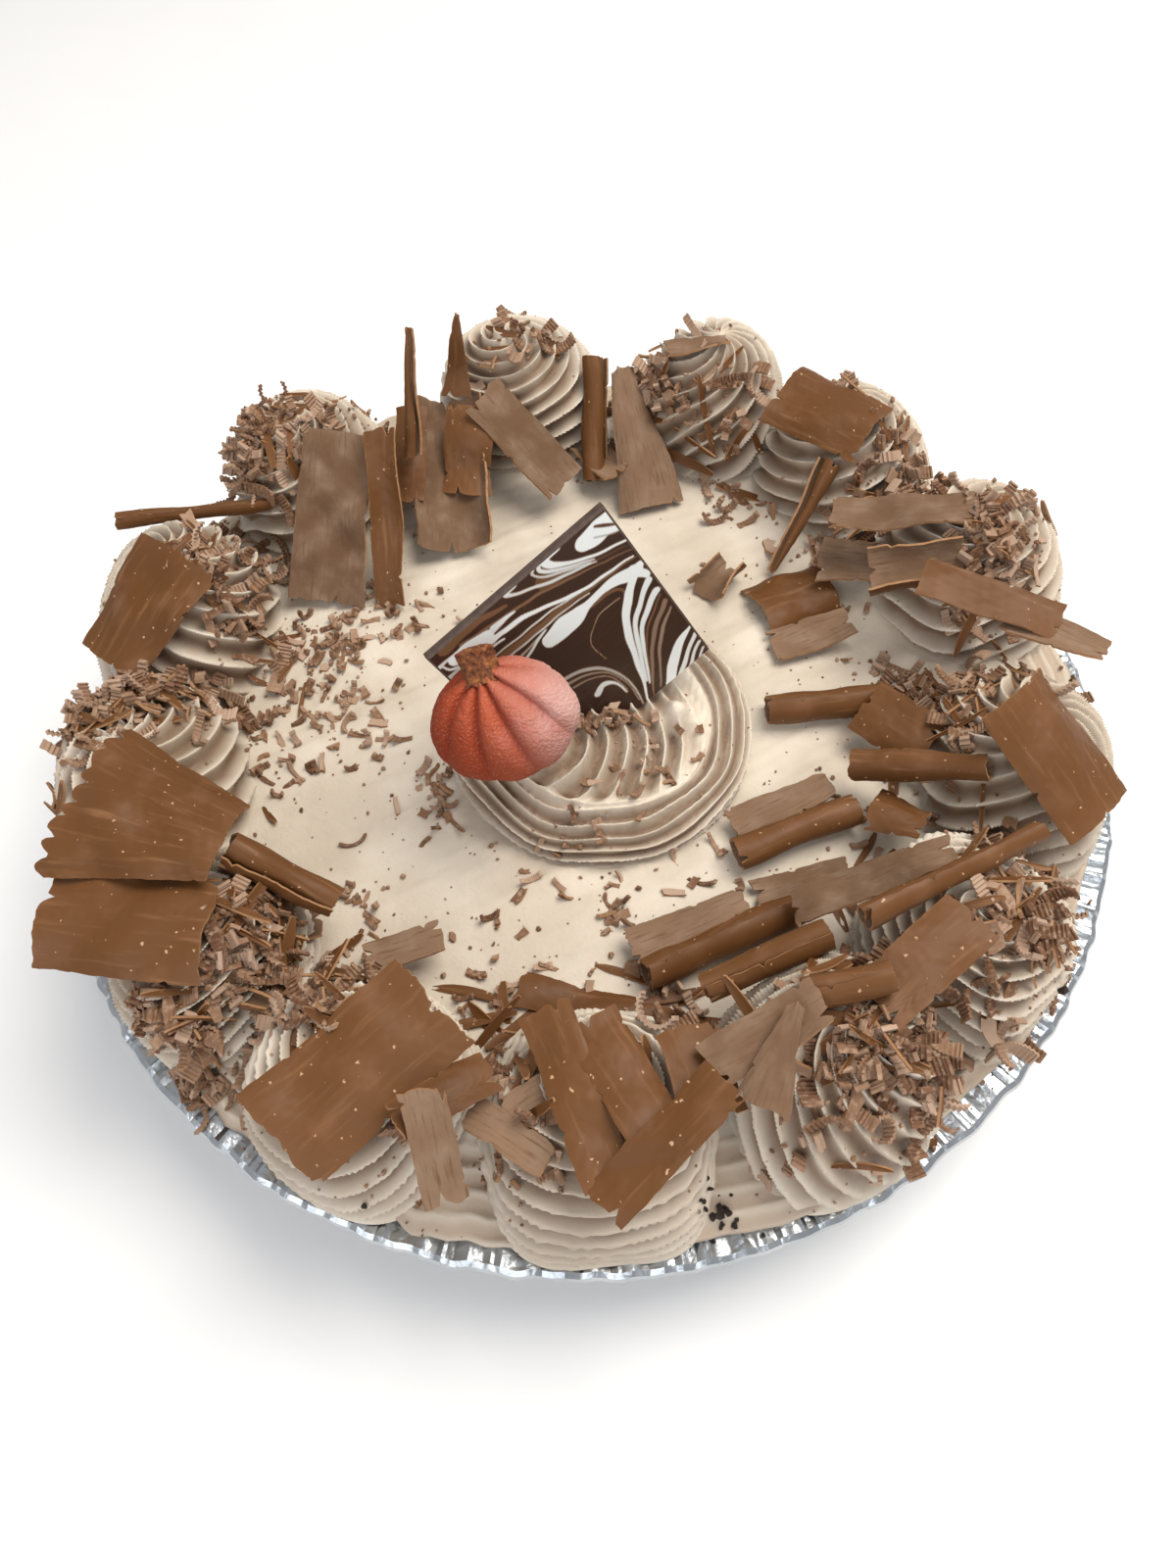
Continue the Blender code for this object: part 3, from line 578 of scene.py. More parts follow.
# %% [markdown]
# ## Piping the ring
# A rope swept along a spiral would cut through itself, so the outside of a rosette is one
# bowl-shaped grid instead, and a crest is wherever a phase that runs both up the side and
# round it comes to a whole number. The absolute value of a sine gives the section: a sharp
# crest and a round valley.

# %% Piping the ring
UNDERCUT = 0.12             # part of a quarter turn that tucks in at the foot
TEETH = 2                   # fine ridges of the nozzle for one ridge of the solid
RIDGE_DEPTH = 3.1           # mm from a crest to the bottom of its valley
NICK_DEPTH = 0.1            # air holes break the crests a little
MEAN_RADIUS = 20            # mm, which gives the unevenness of a rosette its real size
FOOT_SINK = 1.5             # the foot is pressed this far into the cream
FOOT_SQUARENESS = 2.9       # 2 would be round: neighbours press each foot toward a square


def rosette_profile(share):
    """How wide and how high a rosette is at a share of the way up its side."""
    lowest = -UNDERCUT * math.pi / 2
    angle = lowest + (math.pi / 2 - lowest) * share
    across = np.clip(np.cos(angle), 0, None) ** 0.9
    floor = math.sin(lowest)
    return across, (np.sin(angle) - floor) / (1.0 - floor)


def ridge_phase(share, turn, starts, coils):
    """Twice the number of ridges counted up the side, and round it by the ridges that start."""
    lag = turn if starts < 0 else 1.0 - turn
    return 2 * coils * share + 2 * abs(starts) * lag


def pipe_rosette(number, rosette, columns=220, rows=190):
    turn, share = np.meshgrid(np.arange(columns) / columns, np.linspace(0, 1, rows))
    angle = 2 * math.pi * turn
    across, up = rosette_profile(share)
    ball = np.stack([np.cos(angle) * across, np.sin(angle) * across, up], -1) * MEAN_RADIUS
    seed = 100 + 10 * number
    phase = TEETH * ridge_phase(share, turn, rosette.starts, rosette.coils)
    phase = phase + 0.35 * waves(ball, 24, seed)
    fade = np.minimum(1.0, np.minimum(14.0 * share, 6.0 * (1.0 - share)))
    strength = 1.0 + 0.22 * waves(ball, 9, seed + 1)
    groove = grooves(phase)
    nicks = NICK_DEPTH * waves(ball, 1.7, seed + 2) * (1 - groove)
    depth = RIDGE_DEPTH * strength * fade * groove + nicks * fade
    power = 2 + (FOOT_SQUARENESS - 2) * (1 - up)
    square = (np.abs(np.cos(angle)) ** power + np.abs(np.sin(angle)) ** power) ** (-1 / power)
    swell = square * (1.0 + 0.035 * waves(ball, 26, seed + 3))
    along = (rosette.half_depth * swell - depth) * across * np.cos(angle)
    aside = (rosette.half_width * swell - depth) * across * np.sin(angle)
    heading = math.radians(rosette.angle)
    middle_x, middle_y = rosette.radius * math.cos(heading), rosette.radius * math.sin(heading)
    foot_x = middle_x + along * math.cos(heading) - aside * math.sin(heading)
    foot_y = middle_y + along * math.sin(heading) + aside * math.cos(heading)
    foot = cream_height(np.hypot(foot_x, foot_y)) - FOOT_SINK * (1 - share) ** 4
    z = foot + (rosette.peak - foot) * up - depth * up
    lean_x = rosette.lean_in * np.cos(heading) + rosette.lean_side * math.sin(heading)
    lean_y = rosette.lean_in * np.sin(heading) - rosette.lean_side * math.cos(heading)
    x, y = foot_x - lean_x * up ** 2, foot_y - lean_y * up ** 2
    points = np.stack([x, y, z], -1).reshape(-1, 3)
    shape = flat_shape(points, lattice(rows, columns, wrap=True))
    # painted shade: the valleys between the ridges are darkened through the shape's "tone"
    shape = shape._replace(tone=(groove ** 1.3 * fade).ravel())
    name = f"rosette_{number:02d}"
    piece = make_piece(f"piped_{name}", shape, [PIPED_CREAM], weld=True)
    return belongs(piece, "chocolate_cream", name)


GROUND += [pipe_rosette(number, each) for number, each in enumerate(ROSETTES, start=1)]
print("piped rosettes", sum(len(each.data.polygons) for each in GROUND[1:]), "faces")

# %% [markdown]
# ## The middle rosette
# The broad rosette in the middle is one longer rope: its first turn lies flat and shows a
# ring of fine close ridges, and its second climbs from the ring to a peak under the pumpkin.
# Its section isn't the same all round, so it has two profiles, which are blended by the way
# that a point faces. Two soft mounds come on top: the seat of the pumpkin, and the cream
# that the tile pushed aside.

# %% The middle rosette
MIDDLE_AT = (3.0, -8.5)
MIDDLE_PEAK = (-14.0, -20.0, 61.5)
# radius and height in mm from the foot up: where the ring stands and folds over to the
# inner edge of its flat top, and on the far side, where one slope runs on to the peak
RING_PROFILE = (
    (32.6, 41.0), (34.4, 43.2), (34.6, 46.0), (33.6, 48.8), (31.0, 50.6), (27.6, 51.0),
    (25.4, 50.2), (24.4, 48.8),
)
SLOPE_PROFILE = (
    (32.6, 41.0), (34.2, 43.0), (34.0, 45.4), (32.6, 47.8), (30.4, 49.8), (28.2, 51.4),
    (26.2, 52.8), (24.4, 54.0),
)
RING_FACES = math.radians(20)           # the way in which the ring stands out most
RING_SHARE = 0.42           # share of the grid's rows that the ring takes
RING_RIDGES = 6
RING_TURNS = 2              # ridges that run out at the ring's foot in one turn
RING_DEPTH = 2.3            # mm from a crest of the ring to the bottom of its valley
TOP_DEPTH = 3.4             # and on the top
TOP_PITCH = 4.3             # mm between the ridges of the top
FAN_CENTRE = (-13.0, -18.0)
SEAT = (-16.0, -25.0, 7.0, 2.5)         # x, y, spread and height of the pumpkin's seat
SMEAR = (20.5, -8.5, 2.2, 3.6)          # and of the cream that the tile pushed aside


def profile_at(corners, share):
    """The radius and height at shares of a profile's length."""
    corners = np.array(corners)
    lengths = np.concatenate([[0], np.cumsum(np.hypot(*np.diff(corners, axis=0).T))])
    lengths /= lengths[-1]
    return np.stack([np.interp(share, lengths, corners[:, axis]) for axis in (0, 1)])


def mound(x, y, middle_x, middle_y, spread):
    """A smooth mound, 1 at its middle."""
    return np.exp(-((x - middle_x) ** 2 + (y - middle_y) ** 2) / (2 * spread ** 2))


print("middle rosette", 2 * RING_PROFILE[2][0], "mm across, peak at", MIDDLE_PEAK[2], "mm")

# %% [markdown]
# ## Piping the middle
# A grid serves again: its first rows follow the ring, and the rest shrink toward the peak.
# The ridges of the top are arcs round a centre of their own, so where the tile was pushed in
# they run out from its foot. Under the smear they fade, since it was smoothed as it moved.

# %% Piping the middle


def pipe_middle(columns=400, rows=230):
    """The middle rosette: `low` runs up the ring and `climb` from there to the peak, 0 to 1."""
    turn, share = np.meshgrid(np.arange(columns) / columns, np.linspace(0, 1, rows))
    angle = 2 * math.pi * turn
    low = np.clip(share / RING_SHARE, 0, 1)
    climb = np.clip((share - RING_SHARE) / (1 - RING_SHARE), 0, 1)
    ringed = np.clip((np.cos(angle - RING_FACES) + 0.15) / 0.7, 0, 1)
    ring, side = profile_at(RING_PROFILE, low), profile_at(SLOPE_PROFILE, low)
    radius, height = side + (ring - side) * ringed
    shift = climb[..., None] * (np.array(MIDDLE_PEAK[:2]) - MIDDLE_AT)
    height = height + (MIDDLE_PEAK[2] - height) * climb ** (0.9 + 0.3 * ringed)
    radius = radius * (1 - climb)
    around = np.stack([np.cos(angle), np.sin(angle)], -1)
    plan = around * radius[..., None] + MIDDLE_AT + shift
    wander = 0.4 * waves(plan, 22, 301)
    ring_groove = grooves(2 * (RING_RIDGES * low - RING_TURNS * turn) + wander)
    ring_fade = np.clip(6 * low, 0, 1) * np.clip(9 * (1 - low), 0, 1)
    fan = plan - FAN_CENTRE
    reach = np.hypot(fan[..., 0], fan[..., 1])
    top_groove = grooves(2 * reach / TOP_PITCH + wander)
    top_fade = np.clip(6 * climb, 0, 1)
    on_ring = share < RING_SHARE
    groove = np.where(on_ring, ring_groove * ring_fade, top_groove * top_fade)
    smear_x, smear_y, smear_spread, smear_height = SMEAR
    smear = mound(plan[..., 0], plan[..., 1], smear_x, smear_y, smear_spread)
    groove = groove * (1 - np.clip(1.2 * smear, 0, 1))
    depth = groove * np.where(on_ring, RING_DEPTH, TOP_DEPTH) * (1 + 0.2 * waves(plan, 11, 302))
    depth = depth + 0.12 * waves(plan, 1.8, 303)
    upward = np.clip((low - 0.15) / 0.5, 0, 1)
    plan = plan - around * (depth * (1 - upward))[..., None]
    seat_x, seat_y, seat_spread, seat_height = SEAT
    height = height - depth * (0.3 + 0.7 * upward)
    height = height + seat_height * mound(plan[..., 0], plan[..., 1], seat_x, seat_y, seat_spread)
    height = height + smear_height * smear
    points = np.concatenate([plan, height[..., None]], -1).reshape(-1, 3)
    shape = flat_shape(points, lattice(rows, columns, wrap=True))
    # painted shade: the valleys of the ring and of the top are darkened through the shape's "tone"
    shape = shape._replace(tone=(groove ** 1.3).ravel())
    piece = make_piece("piped_rosette_centre", shape, [PIPED_CREAM], weld=True)
    return belongs(piece, "chocolate_cream", "rosette_centre")


GROUND.append(pipe_middle())
print("middle rosette", len(GROUND[-1].data.polygons), "faces")

# %% [markdown]
# ## Foil pan
# A foil pie pan is pressed from sheet about a tenth of a millimetre thick, so its wall and
# flange gather in sharp, uneven pleats, and each small facet throws light its own way.
# Modelled pleats give that sparkle. A bump map alone would keep a smooth rim in outline.
# The solid has 54 coarse pleats, and the pressed sheet here has 132 fine ones.

# %% Pressed foil


def pressed_foil():
    """Rolled aluminium: a broad sheen instead of a mirror, creased all over by the pressing."""
    made, tree, shader = finish("pressed_aluminium_foil", Metallic=1.0, Roughness=0.32)
    place = node(tree, "TexCoord").outputs["Object"]
    tarnish = node(tree, "TexNoise", None, {"Vector": place, "Scale": per(9), "Detail": 3.0})
    colour = blend_colour(tree, tarnish, linear("#9ba1a6"), linear("#cfd3d6"))
    tree.links.new(colour, shader.inputs["Base Color"])
    creases = node(tree, "TexVoronoi", {"feature": "DISTANCE_TO_EDGE"},
                   {"Vector": place, "Scale": per(2.6), "Randomness": 1.0})
    folded = relief(tree, shader, creases, 0.2)
    rolled = node(tree, "TexNoise", None, {"Vector": place, "Scale": per(1.1), "Detail": 2.0})
    relief(tree, shader, rolled, 0.10, folded)
    return made


FOIL = pressed_foil()
print("foil finish", FOIL.name)

# %% [markdown]
# ## The shape of the pan
# The pan is one profile, from the middle of the floor up the wall and over the flange to the
# turned edge, carried round in a circle. A saw-toothed wave that runs round with it pushes
# the wall in and out and the flange up and down, and gives each pleat its straight sides.

# %% Foil pan
TIN_RADIUS = 122.0          # mm, to the turned edge
PLEATS = 132
POINTS_PER_PLEAT = 8
FOIL_THICKNESS = 0.15       # mm, half as thick again as real foil, so that its edge shows
FLANGE_START = 107          # mm from the middle, where the wall turns outward
# radius, height, and how deep the pleats are there, from the middle out to the curled edge
FOIL_STATIONS = (
    (0.0, 0.2, 0.0), (84.0, 0.2, 0.0), (89.0, 0.2, 0.1), (91.2, 0.9, 0.3), (96.0, 9.0, 0.8),
    (101.5, 18.0, 1.0), (106.6, 26.5, 1.0), (108.0, 28.8, 0.9), (109.6, 29.9, 0.8),
    (112.0, 30.2, 1.0), (114.5, 30.3, 1.0), (117.0, 30.3, 1.0), (119.2, 30.3, 0.9),
    (120.8, 30.4, 0.6), (121.8, 29.8, 0.4), (122.2, 28.9, 0.3), (121.8, 28.0, 0.2),
    (120.9, 27.8, 0.1),
)


def make_foil():
    columns = PLEATS * POINTS_PER_PLEAT
    stations = np.array(FOIL_STATIONS)
    angle = np.linspace(0, 2 * math.pi, columns, endpoint=False)[None, :]
    ring = np.stack([np.cos(angle), np.sin(angle)], -1) * TIN_RADIUS
    phase = PLEATS * angle / (2 * math.pi) + 0.28 * waves(ring, 14, 51)
    fold = 2 * np.abs(2 * (phase - np.floor(phase + 0.5))) - 1
    fold = fold * (0.75 + 0.3 * waves(ring, 6, 52)) + 0.35 * waves(ring, 2.2, 53)
    radius, height, pleat = (stations[:, index][:, None] for index in range(3))
    flange = np.clip((radius - FLANGE_START) / 3, 0, 1)
    wall_push = pleat * fold * (1 - flange)
    rim_wave = 0.35 * waves(ring, 30, 54) * flange
    z = height + 0.75 * pleat * fold * flange + rim_wave
    radius = radius + 0.8 * wall_push + 0.3 * waves(ring, 8, 55) * flange
    x, y = radius * np.cos(angle), radius * np.sin(angle)
    points = np.stack([x, y, np.clip(z, 0.0, None)], -1).reshape(-1, 3)
    shape = flat_shape(points, lattice(len(stations), columns, wrap=True))
    piece = make_piece("pleated_foil_pan", shape, [FOIL], sharp=25, weld=True)
    sheet = piece.modifiers.new("foil", "SOLIDIFY")
    sheet.thickness = FOIL_THICKNESS * MM
    sheet.offset = 0.0
    return belongs(piece, "foil", "foil_tin")


FOIL_PAN = make_foil()
print("foil pan", len(FOIL_PAN.data.polygons), "facets")

# %% [markdown]
# ## Black crumb crust
# The crust is crushed black cocoa biscuit pressed up the inside of the pan. Nearly all of
# it is under cream, so its solid stays as it is and only takes the rough, dull finish of
# packed crumbs. The grain of crushed biscuit is about a millimetre.

# %% Black crumb crust


def black_crumb():
    made, tree, shader = finish("crushed_black_cocoa_biscuit", Roughness=0.9, IOR=1.45)
    place = node(tree, "TexCoord").outputs["Object"]
    grains = node(tree, "TexVoronoi", None, {"Vector": place, "Scale": per(1.1)})
    colour = blend_colour(tree, grains, linear("#1c1512"), linear("#3b2f29"))
    tree.links.new(colour, shader.inputs["Base Color"])
    relief(tree, shader, grains, 0.5)
    return made


BLACK_CRUMB = black_crumb()
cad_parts["crumb_crust"].material_slots[0].material = BLACK_CRUMB
print("crust finish", BLACK_CRUMB.name)

# %% [markdown]
# ## Marbled chocolate tile
# White and milk chocolate were drizzled on a dark sheet and combed before it set. The
# combing pulls each drop into a long teardrop, with thin drawn-out lines nested round it.
# The sheet is drawn here as the maker drew it, in strokes: each has its line over the face,
# a half width that changes along it, and how much white it holds. An image texture could
# hold them, but a fine grid whose points each keep a "tone", dark to white, needs no file,
# and the material turns that tone into colour.

# %% Marbled chocolate tile
TILE_WIDTH = 45.5
TILE_HEIGHT = 48.5
TILE_THICKNESS = 2.6
TILE_CENTRE = (-1.7, -4.8, 69.5)
TILE_FACING = (0.39, -0.88, 0.28)
TILE_TURN = 24.0            # degrees that the tile was turned before it was pushed in
TILE_BEVEL = 0.5
TILE_GRID = 0.25            # mm between the points that hold the tone
STROKE_SPREAD = 1.15        # a drop spreads a little while the sheet is still warm
# tone of a stroke, then x, y and half width in mm of the points along it, from the middle of
# the tile: x runs up to the right, along the edge that ends in the top corner, and y up to
# the left, from the lower edge to that one
STROKES = (
    (0.30, (-19, 23.2, 1.2), (-12, 23.3, 0.8), (-4, 21.5, 0.3)),
    (0.35, (-16, 21.5, 0.3), (-6, 19.8, 0.35), (3, 18.5, 0.3), (14, 14.6, 0.2), (22, 12, 0.15)),
    (0.25, (4, 20, 1.3), (9, 17.8, 0.5), (16, 15.4, 0.2), (22, 13.6, 0.1)),
    (0.80, (15, 15.3, 0.1), (5, 19.2, 0.2), (-1, 22, 0.2), (-2.8, 23.6, 0.45), (-0.5, 23.9, 0.3)),
    (0.75, (14, 16, 0.1), (6, 20.2, 0.15), (3.8, 22.8, 0.2), (4.8, 24, 0.15)),
    (0.85, (15, 16.2, 0.1), (8, 19.8, 0.2), (5.5, 22.4, 0.35), (6, 24, 0.25)),
    (0.95, (22, 14.9, 0.15), (16, 16.8, 0.25), (11, 19.2, 0.3), (7.8, 21.6, 0.6), (7.4, 23.9, 0.7),
     (11, 24, 0.15)),
    (1.00, (15.4, 20.8, 1.5), (18, 20.6, 1.9), (20.5, 20.6, 1.9), (22.6, 19.5, 1.6)),
    (1.00, (18.5, 22, 0.7), (22.6, 22.4, 0.7)),
    (0.15, (19, 21.9, 0.2), (20.6, 20.6, 0.3), (22.8, 19, 0.15)),
    (0.55, (17.5, 20.2, 0.12), (20, 18.4, 0.12), (22.6, 17.4, 0.1)),
    (0.30, (-12.2, 12.2, 0.9), (-1, 12.2, 0.5), (10, 11.4, 0.3), (22, 9.6, 0.15)),
    (0.80, (-13, 13.8, 0.12), (-1, 13.4, 0.12), (9, 12.1, 0.1)),
    (0.75, (-12, 11, 0.15), (-1, 11.3, 0.12), (10, 10.6, 0.1)),
    (0.60, (-10.2, 9, 0.3), (-2, 10.6, 0.1)),
    (0.85, (-8.4, 8, 0.2), (-3, 10.2, 0.2), (-1.5, 10.7, 0.1)),
    (0.80, (-22.5, 20.6, 0.35), (-17.6, 20.9, 0.1)),
    (0.80, (-22.5, 17.2, 0.4), (-18.6, 16.7, 0.5)),
    (0.90, (-21.6, 20, 0.15), (-20.6, 18.3, 0.2), (-16, 16.8, 0.2), (-9, 15.7, 0.15)),
    (1.00, (-19, 19.6, 1.0), (-15.5, 19.1, 1.7), (-11.6, 18.5, 1.6), (-8.4, 17.7, 0.9),
     (-2, 16.2, 0.45), (8, 12.6, 0.25), (21.5, 10.2, 0.1)),
    (0.90, (-9, 19.2, 0.7), (-6, 19.4, 0.4), (-3.6, 19.1, 0.15)),
    (0.12, (-9.6, 18.1, 0.15), (-5, 18.1, 0.5), (0.6, 16.9, 0.25)),
    (1.00, (-2.2, 7.6, 1.6), (1.4, 8, 2.1), (5, 8, 1.6), (8, 8.2, 0.9), (12, 8.9, 0.8),
     (16, 8.6, 1.1), (19.5, 7, 1.3), (21.8, 7.6, 0.6)),
    (1.00, (19.8, 7.4, 1.1), (21.6, 4.6, 0.7)),
    (0.30, (8.4, 6.8, 0.12), (12.6, 7.2, 0.45), (15.4, 5.6, 0.35), (14.6, 2, 0.15)),
    (0.60, (13.9, 4, 0.1), (8.2, 4.2, 0.06), (3.6, -0.4, 0.06), (3.9, -6, 0.06)),
    (1.00, (19, 6.2, 0.8), (15.2, 2.6, 0.75), (11.6, -3, 0.7), (9, -10.8, 0.5), (7.4, -17.4, 0.3),
     (4.9, -24, 0.1)),
    (0.95, (21.2, 3, 0.6), (16.8, -0.3, 0.5), (13, -4.6, 0.45), (10, -12, 0.35), (7.6, -19, 0.1)),
    (0.95, (21.3, -0.6, 0.7), (17, -3.2, 0.55), (13.2, -7.4, 0.4), (10.2, -14.3, 0.25), (7.8, -20, 0.1)),
    (0.30, (21.5, -2.2, 0.2), (17.4, -5, 0.25), (13.4, -9.2, 0.2), (10, -15.8, 0.1)),
    (0.40, (21.3, -4.4, 0.5), (17.2, -7.6, 0.5), (13.4, -12, 0.45), (9.2, -18.8, 0.3), (6.8, -24, 0.1)),
    (0.45, (21.3, -6.6, 0.2), (17, -10.4, 0.4), (13, -16, 0.3), (9.2, -23, 0.15)),
    (1.00, (22, -14.8, 0.2), (18.2, -16.6, 0.9), (14.6, -19.8, 1.1), (11.6, -23.8, 1.0)),
    (0.90, (22.2, -17.2, 0.35), (17.8, -21, 0.45), (14, -24.2, 0.4)),
    (0.85, (22, -19.8, 0.3), (18.2, -23, 0.3), (16.5, -24.2, 0.25)),
    (0.80, (22, -22.2, 0.2), (19.6, -24.2, 0.2)),
    (0.65, (-5.4, -3.2, 0.45), (-1.3, -4.7, 0.45), (2.6, -8.2, 0.35), (4.5, -14, 0.25), (4.4, -20.4, 0.2),
     (3.7, -24, 0.1)),
    (0.55, (-5.2, -4.9, 0.25), (-0.8, -6.6, 0.2), (2.6, -10, 0.15), (4, -15.8, 0.1), (3.7, -22, 0.1)),
    (0.50, (-5, -6.4, 0.2), (-0.7, -8.1, 0.15), (2.3, -11.4, 0.15), (3.1, -17, 0.1)),
    (0.90, (-2.2, -12.4, 0.6), (-0.2, -11.4, 0.5), (2, -13.4, 0.2), (2.7, -17.6, 0.1)),
)


print("tile", TILE_WIDTH, "x", TILE_HEIGHT, "mm with", len(STROKES), "strokes")

# %% [markdown]
# ## Finishes of the tile
# Chocolate that is tempered and set on a smooth sheet has a satin shine on its face. Its
# broken sides are dark, matt and chipped. The face needs one ramp from dark through milky
# brown to white, and the sides need only a noise as coarse as the chips.

# %% Finishes of the tile


def marbled_chocolate():
    made, tree, shader = finish("marbled_tempered_chocolate", Roughness=0.3, IOR=1.46)
    tone = node(tree, "Attribute", {"attribute_name": "tone"}).outputs["Fac"]
    stops = ((0.0, "#3d2a20"), (0.12, "#412c22"), (0.32, "#7b583d"), (0.55, "#a39588"),
             (0.75, "#d3d5d1"), (1.0, "#f0f3f0"))
    colour = node(tree, "ValToRGB", {"stops": stops}, {0: tone})
    tree.links.new(colour.outputs[0], shader.inputs["Base Color"])
    face = node(tree, "UVMap", {"uv_map": "cut"}).outputs[0]
    skin = node(tree, "TexNoise", None, {"Vector": face, "Scale": per(5), "Detail": 2.0})
    relief(tree, shader, skin, 0.04)
    return made


def dark_chocolate():
    made, tree, shader = finish("dark_chocolate_cut_edge", Roughness=0.5, IOR=1.46)
    place = node(tree, "TexCoord").outputs["Object"]
    chips = node(tree, "TexNoise", None, {"Vector": place, "Scale": per(1.4), "Detail": 4.0})
    colour = blend_colour(tree, chips, linear("#33241d"), linear("#5f4c40"))
    tree.links.new(colour, shader.inputs["Base Color"])
    relief(tree, shader, chips, 0.3)
    return made


TILE_FINISHES = [marbled_chocolate(), dark_chocolate()]
print("tile finishes", [each.name for each in TILE_FINISHES])

# %% [markdown]
# ## Painting the strokes
# Each stroke is a smooth curve through a few points. A spot of the face is inside the stroke
# where it lies nearer to that curve than the stroke's half width there, and later strokes
# cover earlier ones, as drizzled chocolate does. A slight wobble keeps the lines from
# looking ruled.

# %% Painting the strokes
WOBBLE = 0.18               # mm
WHITE_BLEED = 0.12          # mm that a pale stroke spreads into the dark
DARK_BLEED = 0.05


def facing_basis(facing, turn):
    """A rotation that takes +Z to the facing direction and +Y upward, then turns it."""
    normal = Vector(facing).normalized()
    side = Vector((0, 0, 1)).cross(normal).normalized()
    basis = Matrix((side, normal.cross(side), normal)).transposed()
    return basis @ Matrix.Rotation(math.radians(turn), 3, "Z")


def stroke_cover(spots, stroke, spread):
    """How much of a stroke covers each spot: 1 inside it, 0 outside, soft over its edge."""
    nearest = np.full(spots.shape[:-1], 99.0)
    corners = smooth_line(np.array(stroke) * (1, 1, STROKE_SPREAD))
    for first, second in zip(corners, corners[1:]):
        way = second[:2] - first[:2]
        share = np.clip(((spots - first[:2]) @ way) / (way @ way), 0, 1)
        middle = first[:2] + share[..., None] * way
        far = np.linalg.norm(spots - middle, axis=-1) - (first[2] + share * (second[2] - first[2]))
        nearest = np.minimum(nearest, far)
    return np.clip(0.5 - (nearest - spread) / TILE_GRID, 0, 1)


def smooth_line(corners, steps=6):
    """Points of a curve through the corners (Catmull and Rom's)."""
    ends = np.concatenate([[2 * corners[0] - corners[1]], corners, [2 * corners[-1] - corners[-2]]])
    line = []
    for before, here, there, after in zip(ends, ends[1:], ends[2:], ends[3:]):
        for t in np.arange(steps) / steps:
            line.append(0.5 * (2 * here + (there - before) * t
                               + (2 * before - 5 * here + 4 * there - after) * t ** 2
                               + (3 * here - before - 3 * there + after) * t ** 3))
    return np.array([*line, corners[-1]])


print("a stroke of 3 points becomes a line of", len(smooth_line(np.eye(3))), "points")

# %% [markdown]
# ## The face and body of the tile
# Only the face needs a fine grid. The bevelled rim, the sides and the back are a few large
# quads, joined to the face into one mesh. The tile is then turned, leaned back and moved to
# where it stands, its lower corner pushed into the cream.

# %% The face and body of the tile


def marbled_face():
    """The front face as a grid of points on the tile's own plane, with their tones."""
    x = np.arange(-TILE_WIDTH / 2 + TILE_BEVEL, TILE_WIDTH / 2 - TILE_BEVEL + 0.01, TILE_GRID)
    y = np.arange(-TILE_HEIGHT / 2 + TILE_BEVEL, TILE_HEIGHT / 2 - TILE_BEVEL + 0.01, TILE_GRID)
    spots = np.stack(np.meshgrid(x, y, indexing="ij"), -1)
    wobble = np.stack([waves(spots, 9, 411), waves(spots, 7, 412)], -1) * WOBBLE
    tone = 0.03 + 0.05 * waves(spots * (0.2, 1.0), 1.6, 413)
    for stroke_tone, *stroke in STROKES:
        bleed = WHITE_BLEED if stroke_tone > 0.7 else DARK_BLEED
        cover = stroke_cover(spots + wobble, stroke, bleed)
        tone = tone + (stroke_tone - tone) * cover
    depth = np.full(tone.shape, TILE_THICKNESS / 2)
    points = np.concatenate([spots, depth[..., None]], -1).reshape(-1, 3)
    shape = flat_shape(points, lattice(len(x), len(y)), cut=spots.reshape(-1, 2))
    return shape._replace(tone=tone.ravel())


def tile_body():
    """The rest of the tile: a bevelled rim round the face, the sides and a flat back."""
    inner = (TILE_WIDTH / 2 - TILE_BEVEL, TILE_HEIGHT / 2 - TILE_BEVEL)
    outer = (TILE_WIDTH / 2, TILE_HEIGHT / 2)
    top = TILE_THICKNESS / 2
    rings = ((inner, top), (outer, top - TILE_BEVEL), (outer, TILE_BEVEL - top), (inner, -top))
    corners = [(half[0] * side_x, half[1] * side_y, depth) for half, depth in rings
               for side_x, side_y in ((-1, -1), (1, -1), (1, 1), (-1, 1))]
    points = np.array(corners)
    walls = lattice(4, 4, wrap=True)[:, ::-1]
    back = np.array([[15, 14, 13, 12]])
    return flat_shape(points, np.concatenate([walls, back]), finish_index=1)


def make_tile():
    shape = joined([marbled_face(), tile_body()])
    basis = np.array(facing_basis(TILE_FACING, TILE_TURN))
    shape = shape._replace(points=shape.points @ basis.T + TILE_CENTRE)
    piece = make_piece("marbled_chocolate_tile", shape, TILE_FINISHES, sharp=30, weld=True)
    return belongs(piece, "marbled_chocolate", "marbled_tile")


TILE = make_tile()
print("tile", len(TILE.data.polygons), "faces")

# %% [markdown]
# ## Sugar pumpkin
# The pumpkin is royal icing pressed in a mould, dredged with sugar and airbrushed: red-orange
# from the left, hardly any on the right, so that the pink icing shows. The grains are under
# half a millimetre and sparkle a little. Its grooves are coloured darker than its ribs, by a
# value worked out with the shape and kept as "tone" for the material.

# %% Sugar finishes
PUMPKIN_WIDTH = 31.0
SUGAR_GRAIN = 0.55          # mm; real grains are finer, and are drawn as coarse as they show


